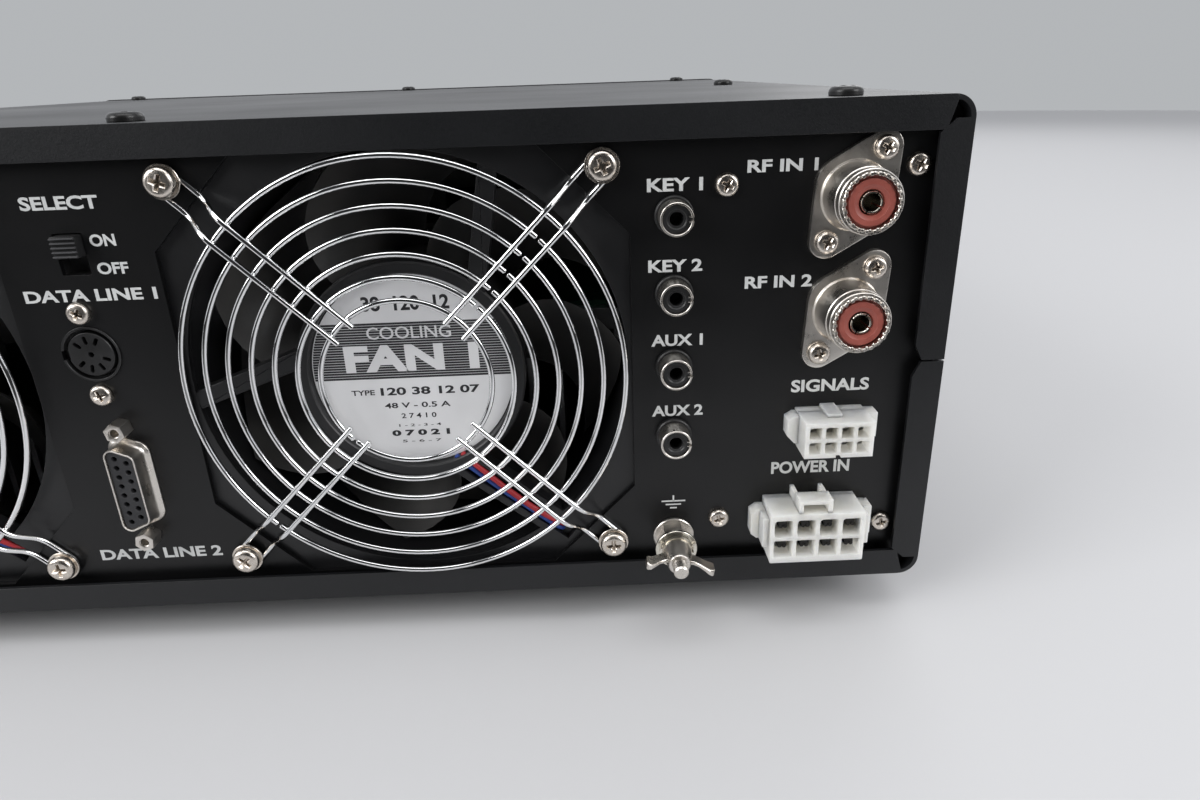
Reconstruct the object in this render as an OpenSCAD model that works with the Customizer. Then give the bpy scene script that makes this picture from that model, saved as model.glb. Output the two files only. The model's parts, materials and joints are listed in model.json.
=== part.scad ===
// HF linear amplifier in a low sheet-metal case, with two guarded fans and its sockets on the back.
// Width runs along X, depth along Y with the back at +Y, and height along Z from the feet up.
// Places on the back are given as seen from behind, from the first fan's centre: right and up.

/* [Case] */
// Width of the right-hand band of sockets, from the case's side to the first fan
socket_band = 81; // [79:0.5:86]
// Width of the band of data sockets between the fans
data_band = 37.3; // [36:0.1:40]
// Width of the band of antenna sockets, from the second fan to the case's side
antenna_band = 47.7; // [44:0.1:52]
// Room over and under the fans
fan_room = 6; // [5:0.5:9]
// Length of the covers, from the front panel to the rear lips
cover_l = 378; // [360:1:420]
// Sheet thickness of the covers
cover_t = 1.2; // [0.8:0.1:1.6]
// Outer bend radius along the covers' long edges
bend_r = 5.5; // [4.5:0.1:7]
// Width of the lips folded in round the back
lip_w = 8; // [6:0.5:9]
// Gap between the upper and lower covers at half height
seam_gap = 0.5; // [0.2:0.1:1]
// Play between the covers and the chassis inside them
cover_gap = 0.2; // [0.1:0.05:0.3]
// Depth of the rear panel behind the lips
panel_recess = 4; // [2.5:0.5:6]
// Thickness of the rear panel
panel_t = 1.6; // [1.2:0.1:2]
// Thickness of the chassis sheet
chassis_t = 1.6; // [1.2:0.1:2]
// Depth of the front panel's frame
front_t = 12; // [10:0.5:16]
// Thickness of the front panel's face
front_skin = 4; // [3:0.5:5]
// Height of the feet
foot_h = 12; // [8:1:16]
// Width of a foot at its base
foot_d = 22; // [18:1:26]
// Head width of the black cover screws
cover_screw_d = 8.4; // [7:0.1:9]
// Head height of the black cover screws
cover_screw_h = 2.4; // [2:0.1:3]

/* [Fans] */
// Outer side of a fan's square frame
fan_size = 120; // [110:0.5:130]
// Depth of a fan
fan_depth = 38; // [32:1:44]
// From the frame's sides to its mounting holes
fan_hole_in = 7.5; // [7:0.1:8.5]
// From the frame's sides to the bore of the duct
duct_edge = 2; // [1.5:0.1:3]
// Thickness of the fan's two square flanges and its struts
fan_flange = 5; // [4:0.5:6]
// Width of the hub at the struts
hub_d = 61; // [58:0.5:64]
// Width of the silver label
label_d = 54; // [50:0.5:56]
// Depth of the label's recess in the hub
label_sink = 3; // [1:0.1:3.5]
// Sideways offset of a plain strut from the centre
strut_offset = 15; // [13:0.5:18]
// Width of a plain strut
strut_w = 5; // [4:0.5:7]
// Sideways offset of the channelled strut that carries the leads
channel_offset = 13; // [11:0.5:15]
// Width of the channelled strut
channel_w = 8.5; // [7:0.5:9]
// Number of blades
blade_count = 7; // [5:1:9]
// Gap between blade tips and duct
tip_gap = 1.2; // [0.8:0.1:2]
// From the fan frame's sides to the eight-sided opening in the rear panel
opening_in = 1; // [0.5:0.1:3]
// Length cut off each corner of that opening
opening_cut = 23.5; // [21:0.5:26]

/* [Wire guards] */
// Wire thickness
wire_d = 1.5; // [1.4:0.1:1.8]
// Number of rings
ring_count = 7; // [5:1:8]
// From the fan frame's sides to the outer ring's wire
ring_edge = 3; // [2:0.1:5]
// Step from ring to ring
ring_step = 5.82; // [5:0.02:6]
// Height of the rings' centre over the rear panel
ring_h = 4.8; // [4.4:0.1:5.4]
// Room between a leg's loop and its screw
loop_room = 0.3; // [0.25:0.05:0.5]
// Depth that the welded wires bite into each other
weld_bite = 0.35; // [0.3:0.05:0.4]

/* [Radio sockets] */
// Input sockets: from the case's side
input_in = 26.5; // [22:0.5:30]
// Upper input socket: from the case's top
input_down = 22.8; // [21:0.1:26]
// Step down from the upper input socket to the lower one
input_step = 29.2; // [28:0.1:30]
// Antenna sockets: from the second fan's frame
antenna_out = 21.5; // [18:0.5:24]
// Outer antenna sockets: from the case's top and bottom
antenna_in = 22.2; // [21:0.1:26]
// Number of antenna sockets
antenna_count = 4; // [2:1:4]
// Spacing of a socket's two screws
flange_pitch = 25.9; // [25:0.1:26.5]
// Thickness of the socket flange
flange_t = 2; // [1.5:0.1:2.5]
// Height of a socket over the panel
socket_h = 15; // [13:0.5:17]
// Radius of the smooth barrel
barrel_r = 8.35; // [8:0.05:8.6]
// Radius of the notched rim
rim_r = 7.75; // [7.5:0.05:7.9]
// Radius of the insulator
insulator_r = 6.4; // [6:0.1:6.6]
// Outer radius of the centre contact
contact_r = 3; // [2.8:0.1:3.2]
// Bore radius of the centre contact
contact_bore_r = 2.1; // [2:0.05:2.2]

/* [Small jacks] */
// Jack column and ground terminal: from the first fan's frame
jack_out = 10; // [9:0.5:14]
// Upper jack: from the case's top
jack_down = 26.2; // [24:0.2:30]
// Step down from jack to jack
jack_step = 19.9; // [18:0.1:20.2]
// Outer radius of a jack's sleeve
jack_r = 4.15; // [4:0.05:4.3]
// Height of a jack over the panel
jack_h = 7.5; // [6:0.5:9]

/* [Data sockets and switch] */
// Data column: right of the middle between the fans
data_shift = 0.15; // [0:0.05:1]
// Round data socket: further left of that column
din_shift = 2.9; // [2:0.1:3.5]
// Round data socket: above the fans' centre
din_dz = 9.7; // [9:0.1:10.5]
// Radius of the round data socket
din_r = 7.5; // [7.3:0.1:7.7]
// Spacing of its two screws
din_pitch = 22.3; // [22:0.1:22.6]
// Long data socket: below the fans' centre
dsub_dz = 27.6; // [27:0.1:28.4]
// Spacing of its two jack screws
dsub_pitch = 33.3; // [33:0.1:33.6]
// Height of its shell over the panel
dsub_h = 6; // [5:0.5:7]
// Slide switch: above the fans' centre
switch_dz = 35.7; // [35:0.1:37]
// Travel of the slide switch
switch_travel = 4.4; // [3:0.1:4.6]

/* [White connectors] */
// Control connector: from the case's side
control_in = 28.6; // [26:0.1:32]
// Control connector: below the middle between its neighbours
control_drop = 1.5; // [0:0.1:3]
// Cell pitch of the control connector
control_pitch = 4.2; // [4:0.1:4.3]
// Power connector: from the case's side
power_in = 32.5; // [30:0.1:36]
// Power connector: from the case's underside
power_up = 18.2; // [17.6:0.1:22]
// Cell pitch of the power connector
power_pitch = 6.25; // [6:0.05:6.35]
// Height of the white connectors over the panel
connector_h = 12; // [10:0.5:13]

/* [Ground terminal] */
// Terminal: from the case's underside
ground_up = 14; // [13:0.5:20]
// Stud radius
stud_r = 2; // [1.8:0.1:2.2]
// Height of the stud over the panel
stud_h = 20; // [18:0.5:22]
// Tip-to-tip width of the wing nut
wing_span = 18.5; // [16:0.5:22]

/* [Front] */
// Display window width
window_w = 168; // [150:1:180]
// Display window height
window_h = 50; // [40:1:56]
// Number of push keys
key_count = 6; // [6:1:6]
// Width of a push key
key_w = 20; // [16:0.5:22]
// Height of a push key
key_h = 9; // [7:0.5:12]
// Spacing of the push keys
key_pitch = 27; // [25:0.5:28]
// Travel of the push keys
key_travel = 1.2; // [0.8:0.1:1.5]
// Diameter of the selector knob
knob_d = 38; // [30:1:42]
// Height of the selector knob
knob_h = 16; // [12:0.5:18]
// Diameter of the power button
power_button_d = 14; // [12:0.5:16]
// Travel of the power button
power_travel = 2.5; // [2:0.1:3]

/* [Inside] */
// Length of each finned heatsink
sink_l = 190; // [150:1:200]
// From a fan's sides to the sides of the finned heatsink in front of it
sink_in = 2; // [1:0.5:5]
// Thickness of a heatsink's base
sink_base = 7; // [5:0.5:9]
// Number of fins on each heatsink
fin_count = 13; // [9:1:17]
// Fin thickness
fin_t = 2; // [1.5:0.1:2.5]
// Thickness of the circuit boards
board_t = 1.6; // [1.2:0.1:2]
// Depth of the input board behind the rear panel
input_board_depth = 18; // [17:0.5:22]

/* [Hidden] */
$fn = 64;
fine = 32;            // sides of small round parts
eps = 0.01;           // overlap where shapes of one piece are joined
touch_gap = 0.05;     // play of a part pressed or screwed into another
slip_gap = 0.3;       // play between a moving part and what it slides in
shaft_gap = 0.05;     // radial play of a turning shaft

fan_pitch = fan_size - 2 * fan_hole_in;
duct_d = fan_size - 2 * duct_edge;
ring_r = fan_size / 2 - ring_edge;
fan_edge = socket_band + fan_size / 2;        // from the case's side to the first fan's centre
fan_gap = fan_size + data_band;               // between the fans' centres
case_w = socket_band + 2 * fan_size + data_band + antenna_band;
case_h = fan_size + 2 * fan_room;
depth_all = cover_l + front_t;
y_lip = depth_all / 2;                        // outer face of the rear lips
y_front = -depth_all / 2;                     // outer face of the front panel
y_cover = y_front + front_t;                  // front edge of the covers
y_panel = y_lip - panel_recess;               // outer face of the rear panel
y_panel_in = y_panel - panel_t;
z_mid = foot_h + case_h / 2;
chassis_inset = cover_t + cover_gap;
z_floor = foot_h + chassis_inset + chassis_t; // top of the chassis floor
z_ceiling = foot_h + case_h - chassis_inset - chassis_t;
x_wall = case_w / 2 - chassis_inset - chassis_t;
fan_u = [0, -fan_gap];                        // fan centres, seen from behind
x_fan_1 = -case_w / 2 + fan_edge;

// Placing: children are drawn as seen from behind, Z standing out of the panel's face
module on_rear(right, up, out = 0)
    translate([x_fan_1 - right, y_panel + out, z_mid + up]) rotate([90, 0, 180]) children();
// Placing on the front panel's face, seen from the front
module on_front(x, up, out = 0)
    translate([x, y_front - out, z_mid + up]) rotate([90, 0, 0]) children();
// An outline in X and Z, drawn round the case's middle and pulled from y0 to y1
module along_y(y0, y1)
    translate([0, y1, z_mid]) rotate([90, 0, 0]) linear_extrude(y1 - y0) children();

module rounded(w, h, r) {
    square([w - 2 * r, h], center = true);
    square([w, h - 2 * r], center = true);
    for (sx = [-1, 1], sy = [-1, 1])
        translate([sx * (w / 2 - r), sy * (h / 2 - r)]) circle(r = r);
}
module block(w, h, z0, z1) translate([-w / 2, -h / 2, z0]) cube([w, h, z1 - z0]);
module tube(r_out, r_in, z0, z1) translate([0, 0, z0]) difference() {
    cylinder(r = r_out, h = z1 - z0);
    translate([0, 0, -1]) cylinder(r = r_in, h = z1 - z0 + 2);
}
// A round wire from p to q, and the ball that joins two of them at a bend
module rod(p, q, d = wire_d) {
    v = q - p;
    l = norm(v);
    translate(p) rotate([0, acos(v[2] / l), atan2(v[1], v[0])]) cylinder(d = d, h = l, $fn = 24);
}
module bend_ball(p, d = wire_d) translate(p) sphere(d = d, $fn = 24);
// Which way the outline faces along the line that touches circles rp round p and rq round q
function facing(p, q, rp, rq) = atan2(q[1] - p[1], q[0] - p[0]) - acos((rp - rq) / norm(q - p));
arc_steps = 8;        // sides of each rounded corner
// Outline that wraps circles of given radii round the corners of a convex outline
module wrap(pts, rs) {
    n = len(pts);
    polygon([for (i = [0:n - 1])
        let (b = (i + n - 1) % n, c = (i + 1) % n)
        let (from = facing(pts[b], pts[i], rs[b], rs[i]), to = facing(pts[i], pts[c], rs[i], rs[c]))
        let (turn = (to - from + 720) % 360)
        for (k = [0:arc_steps])
            pts[i] + rs[i] * [cos(from + turn * k / arc_steps), sin(from + turn * k / arc_steps)]]);
}
// A round-headed cross-slot screw, its head's underside at height 0
module pan_screw(head_d, head_h, shank_r, shank_l) {
    dome_r = head_d * 0.75;
    difference() {
        intersection() {
            cylinder(d = head_d, h = head_h, $fn = fine);
            translate([0, 0, head_h - dome_r]) sphere(r = dome_r);
        }
        for (a = [0, 90]) rotate(a) block(head_d * 0.52, head_d * 0.13, head_h * 0.45, head_h + 1);
    }
    translate([0, 0, -shank_l]) cylinder(r = shank_r, h = shank_l + eps, $fn = fine);
}

// ---- case ----
module case_ring(inset, t) difference() {
    rounded(case_w - 2 * inset, case_h - 2 * inset, bend_r - inset);
    rounded(case_w - 2 * (inset + t), case_h - 2 * (inset + t), max(bend_r - inset - t, 0.4));
}
cover_screw_r = 1.9;
cover_screw_l = 7;
screw_in = 28;        // from the case's side to the outer screw rows
screw_back = 11;      // from the lips to the rear row
screw_front = 7;      // from the front panel to the front row
side_screw_up = 22;   // side screws, from half height
side_screw_in = 25;   // side screws, from the covers' ends
top_rows = [y_cover + screw_front, (y_cover + y_lip) / 2, y_lip - screw_back];
top_screws = [for (i = [0:2], x = [-1, 0, 1]) if (!(i == 1 && x == 0))
    [x * (case_w / 2 - screw_in), top_rows[i]]];
side_rows = [y_cover + side_screw_in, y_lip - side_screw_in];
module at_top_screws() for (p = top_screws) translate([p[0], p[1], foot_h + case_h]) children();
module at_side_screws(half) for (sx = [-1, 1], y = side_rows)
    translate([sx * case_w / 2, y, z_mid + half * side_screw_up]) rotate([0, sx * 90, 0]) children();
foot_x = case_w / 2 - 38;
foot_rows = [y_cover + 28, y_lip - 40];
foot_hole_r = 2.1;
module at_feet() for (sx = [-1, 1], y = foot_rows) translate([sx * foot_x, y, foot_h]) children();
vent_w = 4;
vent_l = 26;
vent_pitch = 9;
vent_count = 8;
module side_vents() for (sx = [-1, 1], i = [0:vent_count - 1])
    translate([sx * case_w / 2, y_cover + 52 + i * vent_pitch, z_mid - 38])
        rotate([0, 90, 0]) linear_extrude(10, center = true) {
            square([vent_l - vent_w, vent_w], center = true);
            for (s = [-1, 1]) translate([s * (vent_l - vent_w) / 2, 0]) circle(d = vent_w, $fn = fine);
        }
lip_corner = 4.4;     // from the case's side to the upper lip's cut end
lip_mitre = 2.2;      // lean of that cut end
lip_chamfer = 2;      // corner cut off the side lips at the seam
module lips(half) {
    hw = case_w / 2;
    hh = case_h / 2;
    scale([1, half]) {
        polygon([[-hw + lip_corner, hh - cover_t / 2], [hw - lip_corner, hh - cover_t / 2],
            [hw - lip_corner - lip_mitre, hh - lip_w], [-hw + lip_corner + lip_mitre, hh - lip_w]]);
        for (sx = [-1, 1]) scale([sx, 1])
            polygon([[hw - cover_t / 2, seam_gap / 2], [hw - lip_w + lip_chamfer, seam_gap / 2],
                [hw - lip_w, seam_gap / 2 + 2 * lip_chamfer], [hw - lip_w, hh - lip_w - 0.6],
                [hw - lip_corner, hh - bend_r], [hw - cover_t / 2, hh - bend_r]]);
    }
}
module cover_shell(half) {
    along_y(y_cover, y_lip) intersection() {
        case_ring(0, cover_t);
        translate([-case_w / 2, half > 0 ? seam_gap / 2 : -case_h / 2])
            square([case_w, case_h / 2 - seam_gap / 2]);
    }
    along_y(y_lip - cover_t, y_lip) lips(half);
}
cover_hole_r = cover_screw_r + 0.2;
module top_cover() color([0.13, 0.13, 0.14]) difference() {
    cover_shell(1);
    at_top_screws() translate([0, 0, -6]) cylinder(r = cover_hole_r, h = 12, $fn = fine);
    at_side_screws(1) translate([0, 0, -6]) cylinder(r = cover_hole_r, h = 12, $fn = fine);
}
module bottom_cover() color([0.13, 0.13, 0.14]) difference() {
    cover_shell(-1);
    at_side_screws(-1) translate([0, 0, -6]) cylinder(r = cover_hole_r, h = 12, $fn = fine);
    at_feet() translate([0, 0, -6]) cylinder(r = foot_hole_r, h = 12, $fn = fine);
    side_vents();
}
chassis_rim_side = 42; // width of the chassis's top flanges along the sides
chassis_rim_end = 24;  // and across the ends
module chassis() color([0.72, 0.72, 0.7]) difference() {
    along_y(y_cover, y_panel_in) case_ring(chassis_inset, chassis_t);
    translate([-case_w / 2 + chassis_rim_side, y_cover + chassis_rim_end, z_ceiling - eps])
        cube([case_w - 2 * chassis_rim_side, y_panel_in - y_cover - 2 * chassis_rim_end, 10]);
    at_top_screws() translate([0, 0, -12]) cylinder(r = cover_screw_r + touch_gap, h = 14, $fn = fine);
    for (half = [-1, 1]) at_side_screws(half)
        translate([0, 0, -12]) cylinder(r = cover_screw_r + touch_gap, h = 14, $fn = fine);
    at_feet() translate([0, 0, -6]) cylinder(r = foot_hole_r, h = 12, $fn = fine);
    side_vents();
}
module cover_screws() color([0.06, 0.06, 0.06]) {
    at_top_screws() pan_screw(cover_screw_d, cover_screw_h, cover_screw_r, cover_screw_l);
    for (half = [-1, 1]) at_side_screws(half)
        pan_screw(cover_screw_d, cover_screw_h, cover_screw_r, cover_screw_l);
}
foot_screw_l = 8;
module feet() color([0.1, 0.1, 0.1]) at_feet() {
    translate([0, 0, -foot_h]) difference() {
        cylinder(d1 = foot_d, d2 = foot_d + 3, h = foot_h);
        translate([0, 0, -1]) cylinder(d = foot_d * 0.5, h = foot_h * 0.55 + 1);
    }
    translate([0, 0, -eps]) cylinder(r = foot_hole_r - touch_gap, h = foot_screw_l, $fn = fine);
}

// ---- rear panel ----
socket_hole_r = insulator_r + 1;
jack_hole_r = jack_r + touch_gap;
guard_screw_r = 1.95;
guard_hole_r = 2.2;
panel_screw_r = 1.5;
jack_dx = fan_size / 2 + jack_out;
inner_screw = [jack_dx + 13, case_h / 2 - 19.3];  // the input board's screws, nearer the jacks
outer_screw = [fan_edge - 11, case_h / 2 - 16];   // and nearer the case's side
panel_screw_places = [for (p = [inner_screw, outer_screw], s = [-1, 1]) [p[0], s * p[1]]];
input_places = [for (i = [0:1]) [fan_edge - input_in, case_h / 2 - input_down - i * input_step]];
antenna_top = case_h / 2 - antenna_in;
antenna_places = [for (i = [0:antenna_count - 1])
    [-fan_gap - fan_size / 2 - antenna_out, antenna_top * (1 - 2 * i / (antenna_count - 1))]];
socket_places = concat(input_places, antenna_places);
flange_lean = 60;     // the flange's long axis, from level
jack_count = 4;
jack_places = [for (i = [0:jack_count - 1]) [jack_dx, case_h / 2 - jack_down - i * jack_step]];
flange_tips = [for (s = [-1, 1]) s * flange_pitch / 2 * [cos(flange_lean), sin(flange_lean)]];
data_dx = fan_gap / 2 - data_shift;
din_place = [-data_dx - din_shift, din_dz];
dsub_place = [-data_dx, -dsub_dz];
switch_place = [-data_dx - 0.9, switch_dz];
knob_w = 6.6;
knob_l = 5.4;
slot_w = knob_w + 2 * slip_gap;
slot_l = knob_l + switch_travel + 2 * slip_gap;
control_w = 4 * control_pitch + 1.4;
control_h = 2 * control_pitch + 1.6;
power_w = 4 * power_pitch + 1;
power_h = 2 * power_pitch + 2.7;
power_place = [fan_edge - power_in, power_up - case_h / 2];
control_place = [fan_edge - control_in, (input_places[1][1] + power_place[1]) / 2 - control_drop];
ground_place = [jack_dx, ground_up - case_h / 2];
dsub_half = [4, 12.4];    // half width, and half length on the long side
dsub_round = 2.4;
module dsub_outline(grow) {
    r = dsub_round + grow;
    x = dsub_half[0] - dsub_round;
    y1 = dsub_half[1] - dsub_round;
    y2 = y1 - 2 * dsub_half[0] * tan(10);
    wrap([[-x, -y1], [x, -y2], [x, y2], [-x, y1]], [r, r, r, r]);
}
module fan_opening() {
    a = fan_size / 2 - opening_in;
    b = a - opening_cut;
    polygon([[-a, -b], [-b, -a], [b, -a], [a, -b], [a, b], [b, a], [-b, a], [-a, b]]);
}
module at_fan_screws(i) for (sx = [-1, 1], sy = [-1, 1])
    translate([fan_u[i] + sx * fan_pitch / 2, sy * fan_pitch / 2]) children();
module at_places(places) for (p = places) translate(p) children();
module panel_cuts() {
    for (i = [0, 1]) {
        translate([fan_u[i], 0]) fan_opening();
        at_fan_screws(i) circle(r = guard_hole_r, $fn = fine);
    }
    at_places(socket_places) {
        circle(r = socket_hole_r, $fn = fine);
        for (t = flange_tips) translate(t) circle(r = panel_screw_r + touch_gap, $fn = fine);
    }
    at_places(jack_places) circle(r = jack_hole_r, $fn = fine);
    at_places(panel_screw_places) circle(r = panel_screw_r + touch_gap, $fn = fine);
    translate(din_place) {
        circle(r = din_r + touch_gap, $fn = fine);
        for (s = [-1, 1]) translate([0, s * din_pitch / 2]) circle(r = panel_screw_r + touch_gap, $fn = fine);
    }
    translate(dsub_place) {
        dsub_outline(dsub_flare + touch_gap);
        for (s = [-1, 1]) translate([0, s * dsub_pitch / 2]) circle(r = jackscrew_r + touch_gap, $fn = fine);
    }
    translate(switch_place) square([slot_w, slot_l], center = true);
    translate(control_place) square([control_w, control_h] + 2 * touch_gap * [1, 1], center = true);
    translate(power_place) square([power_w, power_h] + 2 * touch_gap * [1, 1], center = true);
    translate(ground_place) circle(r = stud_r + touch_gap, $fn = fine);
}
module rear_panel() color([0.07, 0.07, 0.075]) difference() {
    along_y(y_panel_in, y_panel)
        rounded(case_w - 2 * chassis_inset, case_h - 2 * chassis_inset, bend_r - chassis_inset);
    on_rear(0, 0, -panel_t - 1) linear_extrude(panel_t + 2) panel_cuts();
}
panel_screw_d = 5.8;
panel_screw_h = 2.1;
module panel_screws() color("silver") for (p = panel_screw_places)
    on_rear(p[0], p[1]) pan_screw(panel_screw_d, panel_screw_h, panel_screw_r, 8);

// ---- fans ----
leads_angle = 320;    // the strut that carries the leads, seen from behind
lead_r = 0.8;
groove_w = 4;
groove_d = 2;
bearing_r = 7;
shaft_r = 2;
rotor_r = hub_d / 2 - 2;
stator_base = 1.5;    // floor over the end of the shaft's bore
waist_r = duct_d / 2 + 2;
// Where the leads turn inwards, outside the duct
lead_turn = sqrt(pow(waist_r, 2) - pow(channel_offset, 2)) + 3.5;
// Where they come out of the label's recess
lead_start = sqrt(pow(label_d / 2 + 2 * slip_gap, 2) - pow(channel_offset, 2));
module strut(angle, offset, width) rotate(angle - 90)
    translate([offset - width / 2, 0, -fan_flange]) cube([width, duct_d / 2 + 1, fan_flange]);
module fan_frame(i) color([0.05, 0.05, 0.05]) on_rear(fan_u[i], 0, -panel_t) difference() {
    union() {
        difference() {
            union() {
                for (z = [-fan_flange, -fan_depth])
                    translate([0, 0, z]) linear_extrude(fan_flange) rounded(fan_size, fan_size, 4);
                translate([0, 0, -fan_depth + 1]) cylinder(r = waist_r, h = fan_depth - 2);
            }
            translate([0, 0, -fan_depth - 1]) cylinder(d = duct_d, h = fan_depth + 2);
            for (sx = [-1, 1], sy = [-1, 1])
                translate([sx * fan_pitch / 2, sy * fan_pitch / 2, -fan_depth - 1])
                    cylinder(r = guard_hole_r, h = fan_depth + 2, $fn = fine);
        }
        intersection() {
            union() {
                for (turn = [120, 240]) strut(leads_angle + turn, strut_offset, strut_w);
                strut(leads_angle, channel_offset, channel_w);
            }
            translate([0, 0, -fan_flange]) cylinder(d = duct_d + 1, h = fan_flange);
        }
        translate([0, 0, -fan_flange]) cylinder(d = hub_d, h = fan_flange);
        translate([0, 0, -fan_depth * 0.7]) cylinder(r = bearing_r, h = fan_depth * 0.7 - 1);
    }
    translate([0, 0, -fan_depth])
        cylinder(r = shaft_r + shaft_gap, h = fan_depth - label_sink - stator_base, $fn = fine);
    translate([0, 0, -label_sink]) cylinder(d = label_d + 2 * slip_gap, h = label_sink + 1);
    rotate(leads_angle - 90) translate([channel_offset - groove_w / 2, 0, 0]) {
        translate([0, lead_start - 2, -groove_d]) cube([groove_w, lead_turn - lead_start + 4, groove_d + 1]);
        translate([0, lead_turn - 2, -fan_flange]) cube([groove_w, 4, fan_flange + 1]);
    }
}
blade_lean = 38;
blade_t = 1.8;
cup_wall = 2;
rotor_top = -fan_flange - 1;
rotor_bottom = -fan_depth + 2;
shaft_foot = rotor_bottom + 1;
shaft_tip = -label_sink - stator_base - slip_gap;
module blade() intersection() {
    tube(duct_d / 2 - tip_gap, rotor_r - 1, rotor_bottom, rotor_top);
    translate([rotor_r - 2, 0, (rotor_top + rotor_bottom) / 2]) rotate([blade_lean, 0, 0])
        translate([0, -20, -blade_t / 2]) cube([duct_d / 2, 40, blade_t]);
}
module fan_rotor(i) color([0.08, 0.08, 0.08]) on_rear(fan_u[i], 0, -panel_t) {
    difference() {
        translate([0, 0, rotor_bottom]) cylinder(r = rotor_r, h = rotor_top - rotor_bottom);
        translate([0, 0, rotor_bottom + cup_wall]) cylinder(r = rotor_r - cup_wall, h = fan_depth);
    }
    translate([0, 0, shaft_foot]) cylinder(r = shaft_r, h = shaft_tip - shaft_foot, $fn = fine);
    for (k = [0:blade_count - 1]) rotate(k * 360 / blade_count) blade();
}
label_t = 0.3;
module fan_labels() color([0.75, 0.75, 0.76]) for (u = fan_u) on_rear(u, 0, -panel_t - label_sink)
    cylinder(d = label_d, h = label_t);
plug = [5, 4, 5];         // plug that ends each pair of leads, seated on the front flange
plug_top = -fan_depth + fan_flange + plug[2];
module fan_leads() color([0.6, 0.1, 0.1]) for (u = fan_u) on_rear(u, 0, -panel_t)
    rotate(leads_angle - 90) {
        for (s = [-1, 1]) {
            x = channel_offset + s * (lead_r + 0.1);
            z = -groove_d + lead_r;
            rod([x, lead_start, z], [x, lead_turn, z], 2 * lead_r);
            bend_ball([x, lead_turn, z], 2 * lead_r);
            rod([x, lead_turn, z], [x, lead_turn, plug_top - eps], 2 * lead_r);
        }
        translate([channel_offset, lead_turn]) block(plug[0], plug[1], plug_top - plug[2], plug_top);
    }

// ---- wire guards ----
ring_z = ring_h;
end_gap = 1.2;        // between the butt ends of each ring, inside a leg
leg_z = ring_z + wire_d - weld_bite;
loop_z = wire_d / 2;
screw_reach = fan_pitch / sqrt(2);
ring_in = ring_r - (ring_count - 1) * ring_step;
leg_start = ring_in - 2.6;
bend_in = ring_r + 2;
bend_out = ring_r + 8;
leg_pair = 2 * guard_screw_r + wire_d + 2 * loop_room;
module guard_leg() {
    for (s = [-1, 1]) {
        y = s * leg_pair / 2;
        rod([leg_start, y, leg_z], [bend_in, y, leg_z]);
        bend_ball([bend_in, y, leg_z]);
        rod([bend_in, y, leg_z], [bend_out, y, loop_z]);
        bend_ball([bend_out, y, loop_z]);
        rod([bend_out, y, loop_z], [screw_reach, y, loop_z]);
    }
    translate([screw_reach, 0, loop_z]) rotate(-90) rotate_extrude(angle = 180)
        translate([leg_pair / 2, 0]) circle(d = wire_d, $fn = 24);
}
module guard(i) color([0.8, 0.8, 0.82]) on_rear(fan_u[i], 0) {
    for (k = [0:ring_count - 1]) {
        r = ring_r - k * ring_step;
        cut = end_gap / 2 / r * 180 / PI;
        rotate((k % (ring_count - 1) == 0 ? 225 : 45) + cut) translate([0, 0, ring_z])
            rotate_extrude(angle = 360 - 2 * cut) translate([r, 0]) circle(d = wire_d, $fn = 24);
    }
    for (a = [45:90:315]) rotate(a) guard_leg();
}
guard_washer_t = 0.6;
guard_head_d = 7.5;
guard_head_h = 2.6;
guard_nut_h = 3.2;
module at_guard_screws(out) on_rear(0, 0, out) for (i = [0, 1]) at_fan_screws(i) children();
module guard_screws() color("silver") at_guard_screws(wire_d + guard_washer_t)
    pan_screw(guard_head_d, guard_head_h, guard_screw_r,
        wire_d + guard_washer_t + panel_t + fan_flange + guard_nut_h);
module guard_washers() color("silver") at_guard_screws(wire_d)
    tube(4.3, guard_screw_r + touch_gap, 0, guard_washer_t, $fn = fine);
module guard_nuts() color("silver") at_guard_screws(-panel_t - fan_flange) difference() {
    translate([0, 0, -guard_nut_h]) cylinder(d = 7 / cos(30), h = guard_nut_h, $fn = 6);
    translate([0, 0, -guard_nut_h - 1])
        cylinder(r = guard_screw_r + touch_gap, h = guard_nut_h + 2, $fn = fine);
}

// ---- radio sockets ----
rim_z = socket_h - 4;
stub = panel_t + 2;
notch_count = 24;
face_drop = 1;        // depth of the insulator's face inside the rim
module socket_shell() difference() {
    union() {
        linear_extrude(flange_t) wrap([flange_tips[0], [2, -2], flange_tips[1], [-2, 2]], [4.3, 8, 4.3, 8]);
        cylinder(r = barrel_r, h = rim_z);
        cylinder(r = rim_r, h = socket_h);
        translate([0, 0, -stub]) cylinder(r = socket_hole_r - touch_gap, h = stub + eps);
    }
    translate([0, 0, -stub - 1]) cylinder(r = insulator_r + touch_gap, h = socket_h + stub + 2);
    for (t = flange_tips) translate([t[0], t[1], -1])
        cylinder(r = panel_screw_r + touch_gap, h = flange_t + 2, $fn = fine);
    for (k = [0:notch_count - 1]) rotate(k * 360 / notch_count)
        translate([rim_r, 0, socket_h]) cube([1.1, 0.8, 1.8], center = true);
}
module input_sockets() color("silver") for (p = input_places) on_rear(p[0], p[1]) socket_shell();
module antenna_sockets() color("silver") for (p = antenna_places) on_rear(p[0], p[1]) socket_shell();
module socket_insulators() color([0.55, 0.2, 0.15]) for (p = socket_places) on_rear(p[0], p[1]) {
    difference() {
        translate([0, 0, -stub - 3]) cylinder(r = insulator_r, h = stub + 3 + socket_h - face_drop);
        translate([0, 0, -stub - 4]) cylinder(r = contact_r + touch_gap, h = socket_h + stub + 6);
        translate([0, 0, socket_h - face_drop - 1.2]) tube(insulator_r - 0.9, contact_r + 1.2, 0, 3);
    }
}
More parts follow.
